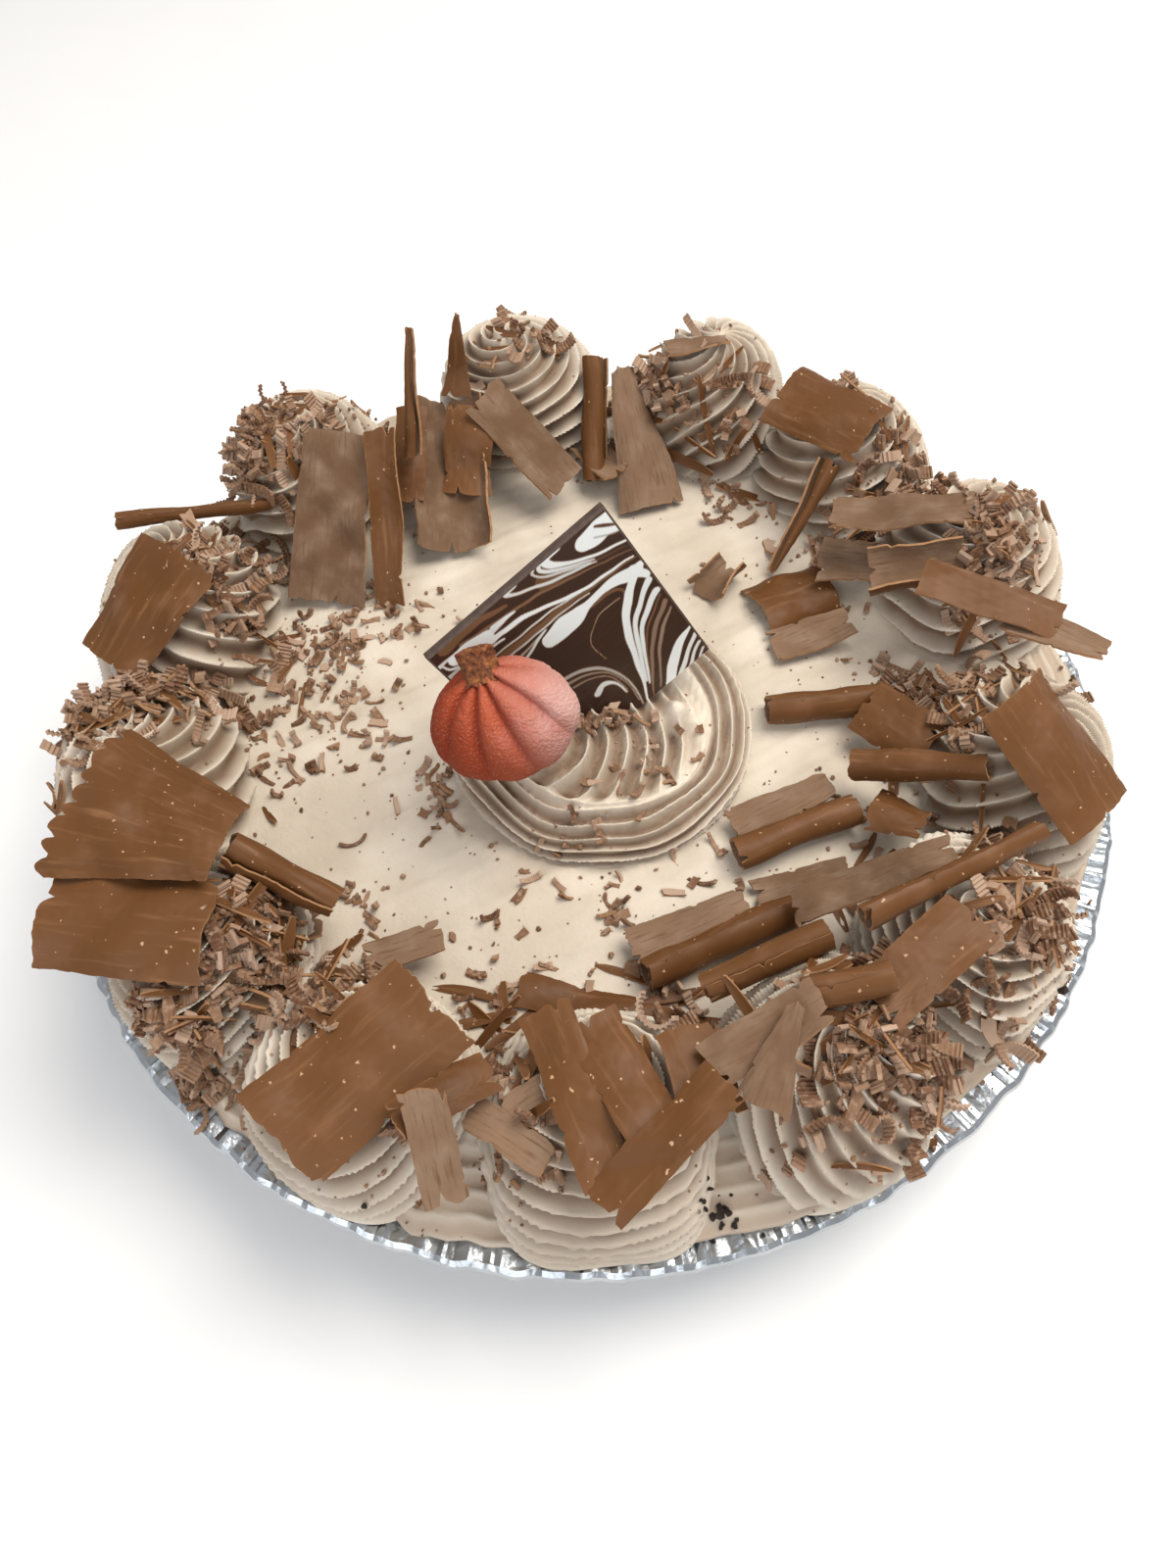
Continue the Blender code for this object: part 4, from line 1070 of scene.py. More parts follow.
def moulded_sugar():
    """Dry and matt, with a trace of light inside and pale glints on the grains."""
    made, tree, shader = finish("airbrushed_moulded_sugar", Roughness=0.75, IOR=1.5,
                                Subsurface_Weight=0.1, Subsurface_Radius=(1.0, 0.3, 0.2),
                                Subsurface_Scale=1.0 * MM)
    face = node(tree, "UVMap", {"uv_map": "cut"}).outputs[0]
    groove = node(tree, "Attribute", {"attribute_name": "tone"}).outputs["Fac"]
    across = node(tree, "SeparateXYZ", None, {0: face})
    sprayed = node(tree, "MapRange", None,
                   {"Value": across, "From Min": -0.5 * PUMPKIN_WIDTH * MM,
                    "From Max": 0.5 * PUMPKIN_WIDTH * MM})
    mist = node(tree, "TexNoise", None, {"Vector": face, "Scale": per(7), "Detail": 3.0})
    misted = node(tree, "Math", {"operation": "MULTIPLY_ADD"}, {0: mist, 1: 0.35, 2: -0.17})
    reach = node(tree, "Math", {"operation": "ADD"}, {0: sprayed, 1: misted})
    stops = ((0.0, "#8a3008"), (0.3, "#9e3d15"), (0.55, "#ac5031"), (0.78, "#bc7867"),
             (1.0, "#caa097"))
    skin = node(tree, "ValToRGB", {"stops": stops}, {0: reach})
    # darker red in the grooves, by the "tone" worked out with the shape
    deep = blend_colour(tree, groove, skin.outputs[0], linear("#8c2d0e"))
    grains = node(tree, "TexVoronoi", None, {"Vector": face, "Scale": per(SUGAR_GRAIN)})
    glint = threshold(tree, grains, 0.30, 0.10)
    faint = node(tree, "Math", {"operation": "MULTIPLY"}, {0: glint, 1: 0.22})
    colour = blend_colour(tree, faint, deep, linear("#f0c2b4"))
    tree.links.new(colour, shader.inputs["Base Color"])
    relief(tree, shader, grains, 0.18)
    return made


def sugar_stem():
    """The same sugar, coloured brown right through, so that only its grain varies."""
    made, tree, shader = finish("brown_moulded_sugar_stem", Roughness=0.8, IOR=1.5)
    place = node(tree, "TexCoord").outputs["Object"]
    grains = node(tree, "TexNoise", None, {"Vector": place, "Scale": per(1.0), "Detail": 4.0})
    stops = ((0.35, "#4f2710"), (0.55, "#7d451f"), (0.75, "#a8713a"))
    colour = node(tree, "ValToRGB", {"stops": stops}, {0: grains})
    tree.links.new(colour.outputs[0], shader.inputs["Base Color"])
    relief(tree, shader, grains, 0.5)
    return made


SUGAR, STEM_SUGAR = moulded_sugar(), sugar_stem()
print("pumpkin finishes", SUGAR.name, STEM_SUGAR.name)

# %% [markdown]
# ## The shape of the pumpkin
# Pressed into a one-sided mould, the pumpkin is half of one with a flat back. A dome over an
# oval gives that, with grooves that fan out below the stem. The stem is a short bell with six
# soft edges. Both are turned together to face up and to the left, and then set into the place
# that the solid has.

# %% Sugar pumpkin
PUMPKIN_HEIGHT = 25.0
PUMPKIN_DEPTH = 11.0
BACK_SHARE = 0.06           # share of the rows that close the flat back
RIB_ANGLE = math.radians(29)
GROOVES_MEET = 0.42         # this share of the height above the middle
PUMPKIN_FACING = (-0.22, -0.66, 0.72)
PUMPKIN_TURN = 28.0
STEM_COLUMNS = 60
STEM_ROWS = 26
STEM_RADIUS = 4.5
STEM_LENGTH = 7.4
STEM_DEPTH = 4.4            # its axis lies this far in front of the flat back


def rib_dent(x, y):
    """How deep the grooves between the ribs are: 1 in a groove, 0 on a rib."""
    below = PUMPKIN_HEIGHT * GROOVES_MEET - y
    reach = np.hypot(x, below) / PUMPKIN_HEIGHT
    # the grooves fan out below the stem and bow outward at mid height
    fan = np.arctan2(x, below) / (1.3 - 0.5 * reach)
    return (1.0 - np.abs(np.cos(math.pi * fan / RIB_ANGLE))) ** 1.4


def make_pumpkin(columns=260, rows=110):
    turn, share = np.meshgrid(np.arange(columns) / columns, np.linspace(0, 1, rows))
    angle = 2 * math.pi * turn
    rise = np.clip((share - BACK_SHARE) / (1 - BACK_SHARE), 0, 1) * math.pi / 2
    across = np.cos(rise) * np.clip(share / BACK_SHARE, 0, 1)
    x = PUMPKIN_WIDTH / 2 * across * np.cos(angle)
    y = PUMPKIN_HEIGHT / 2 * across * np.sin(angle)
    dent = rib_dent(x, y)
    dome = np.sin(rise)
    z = PUMPKIN_DEPTH * dome * (1.0 - 0.2 * dent)
    flat = np.stack([x, y, z], -1)
    grain = 0.05 * waves(flat, 1.1, 401) + 0.05 * waves(flat, 0.6, 402) + 0.2 * waves(flat, 7, 403)
    flat = flat * (1 + grain[..., None] / 15) * (1 - 0.03 * (dent * across)[..., None])
    stem_turn, climb = np.meshgrid(np.arange(STEM_COLUMNS) / STEM_COLUMNS,
                                   np.linspace(0, 1, STEM_ROWS))
    waist = 1.0 * np.sin(climb * math.pi * 0.9)
    bell = STEM_RADIUS - waist + 0.25 * np.cos(6 * 2 * math.pi * stem_turn)
    bell = bell * np.clip((1.001 - climb) * 9, 0, 1) ** 0.4
    stem = np.stack([bell * np.cos(2 * math.pi * stem_turn) - 0.6 * climb,
                     PUMPKIN_HEIGHT / 2 - STEM_RADIUS + STEM_LENGTH * climb,
                     STEM_DEPTH + bell * 0.95 * np.sin(2 * math.pi * stem_turn)], -1)
    stem = stem + 0.22 * waves(stem, 1.6, 404)[..., None]
    basis = np.array(facing_basis(PUMPKIN_FACING, PUMPKIN_TURN))
    placed = moved_onto(np.concatenate([flat.reshape(-1, 3), stem.reshape(-1, 3)]) @ basis.T,
                        "sugar_pumpkin")
    count = columns * rows
    body = flat_shape(placed[:count], lattice(rows, columns, wrap=True),
                      cut=flat.reshape(-1, 3)[:, :2])
    # the grooves are coloured darker, most where the dome is high
    body = body._replace(tone=(dent * 0.55 * dome ** 0.5).ravel())
    skin = make_piece("sugar_pumpkin_body", body, [SUGAR], weld=True)
    top = flat_shape(placed[count:], lattice(STEM_ROWS, STEM_COLUMNS, wrap=True)[:, ::-1])
    stalk = make_piece("sugar_pumpkin_stem", top, [STEM_SUGAR], weld=True)
    return [belongs(piece, "orange_sugar", "sugar_pumpkin") for piece in (skin, stalk)]


PUMPKIN = make_pumpkin()
print("pumpkin", PUMPKIN_WIDTH, "x", PUMPKIN_HEIGHT, "mm,", len(PUMPKIN), "pieces")

# %% [markdown]
# ## Large curls
# A broad blade drawn over a block of milk chocolate lifts curls as long as a finger. Each is
# a sheet bent across its width: flat, dished, or rolled up past a full turn. A curl could be
# modelled by hand, but a row of numbers for each is enough when one function bends them all,
# and the solid of the same name says where it lies.

# %% Large curls
# name, heading of the long axis, its pitch, the turn about it, length, width, bend in
# degrees (positive is hollow side up), the far end's width as a share of the near end's,
# which side is the dull one, how deep its ends are torn, and the direction that a roll's
# outer edge faces: the first values are the solid model's
Curl = namedtuple("Curl", "name heading pitch face length width bend taper dull torn seam")
CURLS = (
    Curl("curl_back_tall_matte", 79, 42, 10, 41, 19, 40, 0.85, "in", 1.6, 0),
    Curl("curl_back_tall_brown", 88, 46, 0, 42, 8, 60, 1.0, "out", 1.8, 0),
    Curl("curl_back_gutter", 91, 24, 0, 40, 22, 120, 0.9, "in", 1.8, 0),
    Curl("curl_back_cone", 103, 33, 0, 36, 18, -70, 0.35, "out", 1.0, 0),
    Curl("curl_back_upright_roll", 88, 38, 0, 31, 7, 320, 1.0, "in", 1.2, 200),
    Curl("curl_back_diagonal_matte", -37, -34, 10, 31, 13, 20, 1.0, "in", 1.8, 0),
    Curl("curl_left_back_roll", 12, -6, 0, 37, 5, 330, 0.8, "in", 1.5, 120),
    Curl("curl_left_upper_sheet", -127, -24, -2, 29, 23, -40, 0.75, "in", 1.2, 0),
    Curl("curl_right_inner_roll", 3, 2, 0, 28, 8, 330, 1.0, "in", 1.6, 100),
    Curl("curl_right_low_roll", -20, 24, 0, 29, 8, 330, 0.75, "in", 2.2, 60),
    Curl("curl_right_dark_sheet", -46, 5, 25, 18, 13, -30, 1.0, "in", 1.4, 0),
    Curl("curl_right_outer_sheet", -51, -28, -2, 31, 20, -50, 1.0, "in", 0.8, 0),
    Curl("curl_right_hook", 46, 8, -20, 12, 16, 170, 0.8, "in", 1.6, 0),
    Curl("curl_right_warm_wave", 20, 0, 0, 20, 18, -100, 1.0, "in", 1.6, 0),
    Curl("curl_right_pencil", -130, -42, 0, 30, 6, 330, 0.4, "in", 1.2, 150),
    Curl("curl_right_scroll", -8, 18, 0, 21, 18, 190, 1.0, "in", 1.5, 0),
    Curl("curl_right_round_matte", -15, 8, 10, 15, 13, 40, 0.8, "in", 1.8, 0),
    Curl("curl_right_long_matte", -15, 16, 0, 32, 10, 20, 1.0, "in", 1.6, 0),
    Curl("curl_back_right_sheet", -38, 1, 10, 26, 20, -60, 1.0, "in", 1.4, 0),
    Curl("curl_right_bar", -24, -4, 15, 31, 9, 20, 1.0, "out", 1.0, 0),
    Curl("curl_right_centre_roll", 18, 3, 0, 28, 8, 330, 1.0, "in", 1.8, 250),
    Curl("curl_front_matte_leaf", 19, 0, 0, 22, 9, 30, 0.5, "in", 1.6, 0),
    Curl("curl_front_long_roll", 22, 2, 0, 37, 8, 330, 1.0, "in", 1.6, 90),
    Curl("curl_front_mid_roll", 18, 12, 0, 26, 7, 330, 1.0, "in", 1.5, 110),
    Curl("curl_front_right_matte", 9, 26, 0, 33, 9, 30, 0.7, "in", 1.8, 0),
    Curl("curl_front_right_long_roll", 24, 2, 0, 39, 6, 340, 0.85, "in", 0.8, 80),
    Curl("curl_front_right_bar", 38, 2, 0, 26, 12, -20, 1.0, "in", 1.4, 0),
    Curl("curl_front_end_scroll", 8, 8, 0, 16, 7, 340, 1.0, "in", 1.0, 100),
    Curl("curl_front_thin_leaf", -14, 0, 0, 42, 8, -30, 0.5, "in", 1.4, 0),
    Curl("curl_front_fan_left", -71, 2, 10, 33, 10, -30, 0.9, "in", 1.6, 0),
    Curl("curl_front_fan_right", -62, 4, -10, 26, 11, -30, 1.0, "in", 1.6, 0),
    Curl("curl_front_upright_bar", -76, 4, 0, 17, 11, 20, 1.0, "out", 1.4, 0),
    Curl("curl_front_crossed_bar", -139, -16, 0, 29, 9, -20, 1.0, "in", 1.6, 0),
    Curl("curl_front_matte_bar", 27, 8, 0, 23, 9, 20, 1.0, "in", 1.8, 0),
    Curl("curl_front_pointed_leaf", 66, 10, 0, 19, 10, -40, 0.3, "out", 1.6, 0),
    Curl("curl_front_left_sheet", -140, -9, -10, 36, 21, -25, 1.0, "in", 1.8, 0),
    Curl("curl_front_left_bar", 32, -18, 0, 20, 8, -20, 1.0, "in", 1.4, 0),
    Curl("curl_front_left_matte", -78, -38, 0, 21, 8, 30, 1.0, "in", 1.6, 0),
    Curl("curl_left_roll", -21, -28, 0, 24, 8, 320, 0.9, "in", 1.6, 140),
    Curl("curl_left_low_sheet", -9, 0, 10, 33, 21, -50, 1.0, "in", 1.6, 0),
    Curl("curl_left_big_sheet", -22, 0, 0, 34, 36, -60, 0.5, "in", 1.0, 0),
)


print("large curls", len(CURLS))

# %% [markdown]
# ## Torn ends
# Chocolate snaps. Random teeth joined by straight lines look broken, where smooth noise
# would look melted, so an end has a few coarse steps with small teeth on them and one split
# that runs further in. The widest sheet broke into rounded fingers instead.

# %% Torn ends
FINGERED = ("curl_left_big_sheet",)
FINGER_DEPTH = 4.2
FINGER_PITCH = 4.0
SPLIT_WIDTH = 0.7


def torn_edge(places, depth, draw, tooth=0.9):
    """How far a broken edge is torn back at each place along it, in mm."""
    span = places[-1] - places[0] + 2 * tooth
    steps = draw.uniform(0.4, 1.8, int(span / tooth * 1.4) + 4)
    knots = places[0] - tooth + np.cumsum(steps) * tooth
    teeth = np.interp(places, knots, draw.uniform(0, 1, len(knots)) ** 2) * depth * 0.35
    coarse = np.interp(places, np.linspace(places[0], places[-1], 5), draw.uniform(0, 1, 5))
    torn = teeth + coarse * depth * 0.6
    split = draw.uniform(places[0], places[-1])
    torn += np.clip(1 - np.abs(places - split) / SPLIT_WIDTH, 0, None) * depth * 1.6
    return torn - torn.min()


def fingered_edge(places):
    """A wide thin end that broke into rounded fingers with narrow gaps between them."""
    lobe = np.abs(np.sin(math.pi * places / FINGER_PITCH + 0.35 * np.sin(places * 0.9)))
    return FINGER_DEPTH * (1 - lobe ** 0.5) * (0.7 + 0.3 * np.sin(places * 0.45))


print("fingered ends", FINGERED)

# %% [markdown]
# ## From a sheet to a curl
# The middle surface of a curl is a grid: bent into an arc or wound into a spiral, with a
# slight sway. It is then thickened to both sides along its normals, so that the satin side,
# the dull side and the broken rim can each have their finish. Blender's Solidify would
# thicken it too, but it can't tell a torn rim from the sides.

# %% From a sheet to a curl
CURL_THICKNESS = 0.55
CURL_STEP = 0.65            # mm between the points of a curl
ROLL_BEND = 250.0           # a curl that bends further than this is a roll
ROLL_PITCH = 1.5            # how much closer to the axis each turn lies
ROLL_EXTRA = 1.3            # a roll goes on inside, past the solid's single turn
ROLL_GIRTH = 1.15           # and its sheet is longer than one turn by as much
SIDE_TEAR = 0.6             # mm that the long sides are torn
SWAY = 0.6                  # mm that a sheet wanders from its arc
SCORE = 0.05                # mm, the unevenness that the blade's edge leaves
THIN_REACH = 3.0            # mm from its ends over which a curl runs thin and pale
THIN_GLOW = 0.45            # how much paler it is there


def two_sided(middle, thickness, cut):
    """A thin sheet from its middle surface: finish 0 on its upper side, 1 under, 2 on the rim."""
    rows, columns = middle.shape[:2]
    normal = np.cross(np.gradient(middle, axis=0), np.gradient(middle, axis=1))
    normal /= np.linalg.norm(normal, axis=-1, keepdims=True) + 1e-9
    half = normal * thickness / 2
    count = rows * columns
    points = np.concatenate([(middle + half).reshape(-1, 3), (middle - half).reshape(-1, 3)])
    quads = lattice(rows, columns)
    index = np.arange(count).reshape(rows, columns)
    ring = np.concatenate([index[0], index[1:, -1], index[-1, -2::-1], index[-2:0:-1, 0]])
    after = np.roll(ring, -1)
    rim = np.stack([ring, after, after + count, ring + count], -1)
    faces = np.concatenate([quads[:, ::-1], quads + count, rim])
    finish_index = np.repeat([0, 1, 2], [len(quads), len(quads), len(rim)])
    flat_cut = cut.reshape(-1, 2)
    return Shape(points, faces, np.concatenate([flat_cut, flat_cut]), np.zeros(2 * count),
                 finish_index)


def curl_sheet(curl, draw, step=CURL_STEP):
    """The middle surface of a curl about its own middle, its cut coordinates and how thin it is."""
    rolled = curl.bend > ROLL_BEND
    girth = curl.width * math.pi * ROLL_GIRTH if rolled else curl.width
    rows = max(5, round(curl.length / step) + 1)
    columns = max(5, round(girth / step) + 1)
    v = np.linspace(0, 1, columns)
    near = -curl.length / 2 + torn_edge(v * girth, curl.torn, draw)
    if curl.name in FINGERED:
        near = near + fingered_edge(v * girth)
    far = curl.length / 2 - torn_edge(v * girth, curl.torn, draw)
    u = np.linspace(0, 1, rows)[:, None]
    along = near[None, :] + (far - near)[None, :] * u
    width = curl.width * (1.0 + (curl.taper - 1.0) * u)
    left = torn_edge(u[:, 0] * curl.length, SIDE_TEAR, draw)[:, None]
    right = torn_edge(u[:, 0] * curl.length, SIDE_TEAR, draw)[:, None]
    share = left / girth + (1 - (left + right) / girth) * v[None, :]
    opened = 1.0 + 0.12 * draw.uniform(-1, 1) * (2 * u - 1)
    bend = math.radians(curl.bend) * opened
    flat = np.stack([along, share * girth], -1) + draw.uniform(0, 500)
    sway = SWAY * waves(flat, 16, draw.integers(1000))
    sway = sway + SCORE * waves(flat, 2.2, draw.integers(1000))
    thin = np.exp(-np.minimum(along - near, far - along) / THIN_REACH)
    if rolled:
        angle = bend * ROLL_EXTRA * share
        radius = width / 2 - ROLL_PITCH * angle / (2 * math.pi) + sway * 0.5
        angle = angle + math.radians(curl.seam)
        side, height = radius * np.cos(angle), radius * np.sin(angle)
    else:
        angle = bend * (share - 0.5)
        radius = width / bend
        side = (radius - sway) * np.sin(angle)
        height = radius - (radius - sway) * np.cos(angle)
    return np.stack([along, side, height], -1), flat, thin


print("a curl's points lie", CURL_STEP, "mm apart, and it is", CURL_THICKNESS, "mm thick")

# %% [markdown]
# ## Laying the curls
# A curl is made lying along the X axis, and then turned as it lies: about its own length,
# tipped up or down, and round to its heading. The sign of its bend says whether the hollow
# side is the upper or the lower one, so the finishes change places with it. Each curl draws
# from a generator of its own, so that a change to one leaves all the others as they are.

# %% Laying the curls


def curl_turn(curl):
    """The rotation of a curl, its long axis along +X before."""
    return np.array(Matrix.Rotation(math.radians(curl.heading), 3, "Z")
                    @ Matrix.Rotation(math.radians(-curl.pitch), 3, "Y")
                    @ Matrix.Rotation(math.radians(curl.face), 3, "X"))


def curl_finishes(curl):
    """The finishes of a curl's upper side, its underside and its rim."""
    hollow, outer = (DULL, SATIN) if curl.dull == "in" else (SATIN, DULL)
    return [hollow, outer, EDGE] if curl.bend > 0 else [outer, hollow, EDGE]


def turned_curl(curl, draw, tones):
    """A curl as a shape, turned as it lies, with a tone drawn from a range and paler thin ends."""
    middle, cut, thin = curl_sheet(curl, draw)
    shape = two_sided(middle, CURL_THICKNESS, cut)
    tone = draw.uniform(*tones) + THIN_GLOW * np.tile(thin.ravel(), 2)
    return shape._replace(points=shape.points @ curl_turn(curl).T, tone=tone)


def make_curl(number, curl):
    tones = (0.1, 0.6) if curl.bend > ROLL_BEND else (0.0, 0.6)
    shape = turned_curl(curl, np.random.default_rng(500 + number), tones)
    shape = shape._replace(points=moved_onto(shape.points, curl.name))
    piece = make_piece("shaved_" + curl.name, shape, curl_finishes(curl), sharp=50)
    return belongs(piece, "milk_chocolate", curl.name)


SHAVINGS = [make_curl(number, curl) for number, curl in enumerate(CURLS)]
print("large curls", len(SHAVINGS), "with", sum(len(each.data.polygons) for each in SHAVINGS), "faces")

# %% [markdown]
# ## Lesser curls
# Between the large curls lie smaller ones that broke off them. They have no solid of their
# own, so each is given by its middle in millimetres and then made like the others. They
# could be strewn by chance like the small ones, but at this size a wrong place shows.

# %% Lesser curls
# x, y and z of the middle in mm, then the same values as a large curl's
LESSER = (
    ((-41, 66, 59), Curl("back_dark_strip", 85, 30, 0, 24, 9, -60, 0.9, "in", 1.4, 0)),
    ((-39, 68, 75), Curl("back_pointed_roll", 82, 59, 0, 30, 5, 260, 0.35, "in", 1.0, 200)),
    ((-29, 84, 73), Curl("back_pointed_shard", 78, 62, 0, 20, 8, -40, 0.15, "in", 1.2, 0)),
    ((-27, 67, 58), Curl("back_brown_sheet", 84, 40, 0, 22, 13, -50, 0.9, "in", 1.2, 0)),
    ((6, 72, 49), Curl("back_low_matte", -60, 10, 0, 16, 10, 40, 0.8, "in", 1.4, 0)),
    ((54, 15, 46), Curl("right_low_matte", 15, 8, 0, 20, 10, 30, 0.8, "in", 1.6, 0)),
    ((41, -32, 47), Curl("right_roll_shadow_sheet", 24, 4, 0, 24, 10, 40, 0.6, "in", 1.6, 0)),
    ((19, -59, 48), Curl("front_roll_shadow_sheet", 20, 6, 0, 26, 9, 40, 0.6, "in", 1.6, 0)),
    ((64, -37, 52), Curl("right_small_wedge", -30, 12, 0, 12, 11, -60, 0.7, "in", 1.4, 0)),
    ((-66, -56, 47), Curl("left_low_matte_roll", 12, 4, 0, 22, 11, 120, 0.9, "in", 1.4, 0)),
    ((-16, -103, 64), Curl("front_matte_bar", -34, 4, 0, 17, 7, 30, 0.9, "in", 1.4, 0)),
    ((-10, -96, 65), Curl("front_matte_bar_two", 28, 8, 0, 15, 6, 30, 0.8, "in", 1.4, 0)),
    ((-71, -71, 56), Curl("left_tail_roll", -22, -6, 0, 20, 7, 250, 0.8, "in", 1.4, 180)),
    ((31, 85, 73), Curl("back_thin_flat", 5, 4, 0, 16, 6, 30, 0.7, "in", 1.2, 0)),
    ((100, -2, 67), Curl("right_tip_matte", -32, 6, 0, 22, 11, 40, 0.5, "in", 1.6, 0)),
    ((-38, -62, 50), Curl("front_low_matte", 20, 0, 0, 16, 8, 30, 0.8, "in", 1.4, 0)),
)


def make_lesser(number, centre, curl):
    shape = turned_curl(curl, np.random.default_rng(700 + number), (0.2, 0.9))
    points = shape.points
    shape = shape._replace(points=points - (points.min(0) + points.max(0)) / 2 + centre)
    piece = make_piece("lesser_" + curl.name, shape, curl_finishes(curl), sharp=50)
    return belongs(piece, "milk_chocolate")


SHAVINGS += [make_lesser(number, *row) for number, row in enumerate(LESSER)]
print("with lesser curls", len(SHAVINGS))

# %% [markdown]
# ## Where small pieces land
# Shaved chocolate is scattered from above and lies where it lands, so its places are found
# the same way. Rays cast straight down on a grid give the height of what is below. Each
# flake that lands raises that map a little, and the next one lies on top of it, which is
# how a heap grows.

# %% Height map
REACH = 124.0               # mm from the middle to the edge of the map
CELL = 1.0
SKY = 130.0                 # mm, from where the rays fall
SLOPE_CELLS = 2             # the slope is read over this many cells either way


class Ground:
    """The height of what a falling flake would meet, on a grid of cells."""

    def __init__(self, pieces):
        depsgraph = bpy.context.evaluated_depsgraph_get()
        trees = [BVHTree.FromObject(piece, depsgraph) for piece in pieces]
        self.count = int(2 * REACH / CELL) + 1
        self.height = np.zeros((self.count, self.count))
        down = Vector((0, 0, -1))
        for row in range(self.count):
            for column in range(self.count):
                start = Vector((column * CELL - REACH, row * CELL - REACH, SKY)) * MM
                hits = [tree.ray_cast(start, down)[0] for tree in trees_near(trees, pieces, start)]
                heights = [hit.z / MM for hit in hits if hit]
                if heights:
                    self.height[row, column] = max(heights)

    def cell(self, x, y):
        """The row and column of the cell at a place, off the map's border."""
        column = min(self.count - 2, max(1, round((x + REACH) / CELL)))
        row = min(self.count - 2, max(1, round((y + REACH) / CELL)))
        return row, column

    def land(self, x, y, size, thickness):
        """The height and the slope where a flake lands, which then adds its thickness."""
        row, column = self.cell(x, y)
        last, span = self.count - 1, 2 * SLOPE_CELLS * CELL
        low_row, high_row = max(0, row - SLOPE_CELLS), min(last, row + SLOPE_CELLS)
        low_column, high_column = max(0, column - SLOPE_CELLS), min(last, column + SLOPE_CELLS)
        height = self.height[row, column]
        slope_x = (self.height[row, high_column] - self.height[row, low_column]) / span
        slope_y = (self.height[high_row, column] - self.height[low_row, column]) / span
        reach = max(0, round(size / 2 / CELL) - 1)
        self.height[row - reach:row + reach + 1, column - reach:column + reach + 1] += thickness
        return height, slope_x, slope_y


def trees_near(trees, pieces, start):
    """The search trees of the pieces whose boxes the ray goes through."""
    return [tree for tree, piece in zip(trees, pieces) if over(piece, start)]


def over(piece, start):
    """Whether the start of a downward ray lies over the piece's box."""
    low, high = BOXES[piece.name]
    return low[0] <= start.x <= high[0] and low[1] <= start.y <= high[1]


print("a map has", (int(2 * REACH / CELL) + 1) ** 2, "cells")

# %% [markdown]
# ## Mapping the pie
# Two maps are made: of the cream and the pan, on which things land, and of all that lies
# over them. Where the second is higher, the cream is sheltered and stays clean. A ray is
# only cast at pieces whose boxes it goes through, which takes seconds instead of minutes.

# %% Mapping the pie
BOXES = {}
for each in GROUND + SHAVINGS + PUMPKIN + [TILE, FOIL_PAN]:
    spots = np.array([corner[:] for corner in each.bound_box])
    BOXES[each.name] = (spots.min(0), spots.max(0))
CREAM_GROUND = Ground(GROUND + [FOIL_PAN])
COVER = Ground(SHAVINGS + PUMPKIN + [TILE])


def sheltered(x, y):
    """Whether a large piece lies above this place, so that nothing falls on the cream there."""
    cell = CREAM_GROUND.cell(x, y)
    return COVER.height[cell] > CREAM_GROUND.height[cell]


print("height map", CREAM_GROUND.count, "cells a side")
print("highest cream", round(CREAM_GROUND.height.max(), 1), "mm")

# %% [markdown]
# ## Small shavings, flakes and crumbs
# Four shapes of small chocolate lie about: ribbed shavings that a short blade folded like a
# fan, flat flakes, slivers, of which the longest are strips, and crumbs down to dust. A few
# shapes copied many times would show, so each member is drawn anew, at true size, from a
# seeded generator, and each kind is then one joined mesh.

# %% Small shapes


def ribbed_shaving(draw):
    """A ribbon folded like a fan and curled along its length, up to a loose tube."""
    length, width = draw.uniform(5.0, 14.0), draw.uniform(1.8, 3.6)
    folds = max(5, round(length / 0.95))
    rows = 2 * folds + 1
    u, v = np.meshgrid(np.linspace(0, 1, rows), (-0.5, 0.5), indexing="ij")
    bend = draw.uniform(0.8, 4.4)
    angle = bend * (u - 0.5)
    radius = length / bend
    zigzag = np.where(np.arange(rows) % 2, 0.2, -0.2)[:, None]
    ragged = width * (1 - 0.4 * draw.uniform(0, 1) * u) + draw.normal(0, 0.12, u.shape)
    x = (radius + zigzag) * np.sin(angle)
    z = radius - (radius + zigzag) * np.cos(angle) + draw.uniform(-0.5, 0.5) * v
    return np.stack([x, v * ragged + draw.uniform(-1, 1) * u ** 2, z], -1), 0.6


def flat_flake(draw):
    """A thin broken plate, slightly dished."""
    length, width = draw.uniform(2.5, 8.0), draw.uniform(1.0, 3.0)
    u, v = np.meshgrid(np.linspace(-0.5, 0.5, 4), np.linspace(-0.5, 0.5, 3), indexing="ij")
    x = u * length + draw.normal(0, 0.28, u.shape)
    y = v * width + draw.normal(0, 0.28, u.shape)
    dish = draw.uniform(-0.12, 0.3) * (x ** 2 + y ** 2) / 3
    return np.stack([x, y, dish + draw.normal(0, 0.06, u.shape)], -1), draw.uniform(0.35, 0.7)


def sliver(draw):
    """A long thin splinter with a slight bow."""
    length, width = draw.uniform(6.0, 15.0), draw.uniform(0.8, 1.9)
    u, v = np.meshgrid(np.linspace(-0.5, 0.5, 8), np.linspace(-0.5, 0.5, 3), indexing="ij")
    taper = 1 - np.abs(2 * u) ** 3 * 0.6
    x = u * length
    y = v * width * taper + draw.uniform(-2.2, 2.2) * u ** 2
    z = draw.uniform(-0.6, 1.8) * u ** 2 + 0.3 * np.abs(v)
    return np.stack([x, y, z], -1), 0.45


print("a flake has", flat_flake(np.random.default_rng(0))[0].shape[:2], "points")

# %% [markdown]
# ## Crumbs, and how things lie
# A crumb starts from an icosahedron. Whatever lands is turned any way about, tilted as the
# ground is and a little more by chance, and never steeper than a loose flake would hold.

# %% Crumbs, and how things lie
STEEPEST = 1.6              # rise over run at which a loose flake still holds


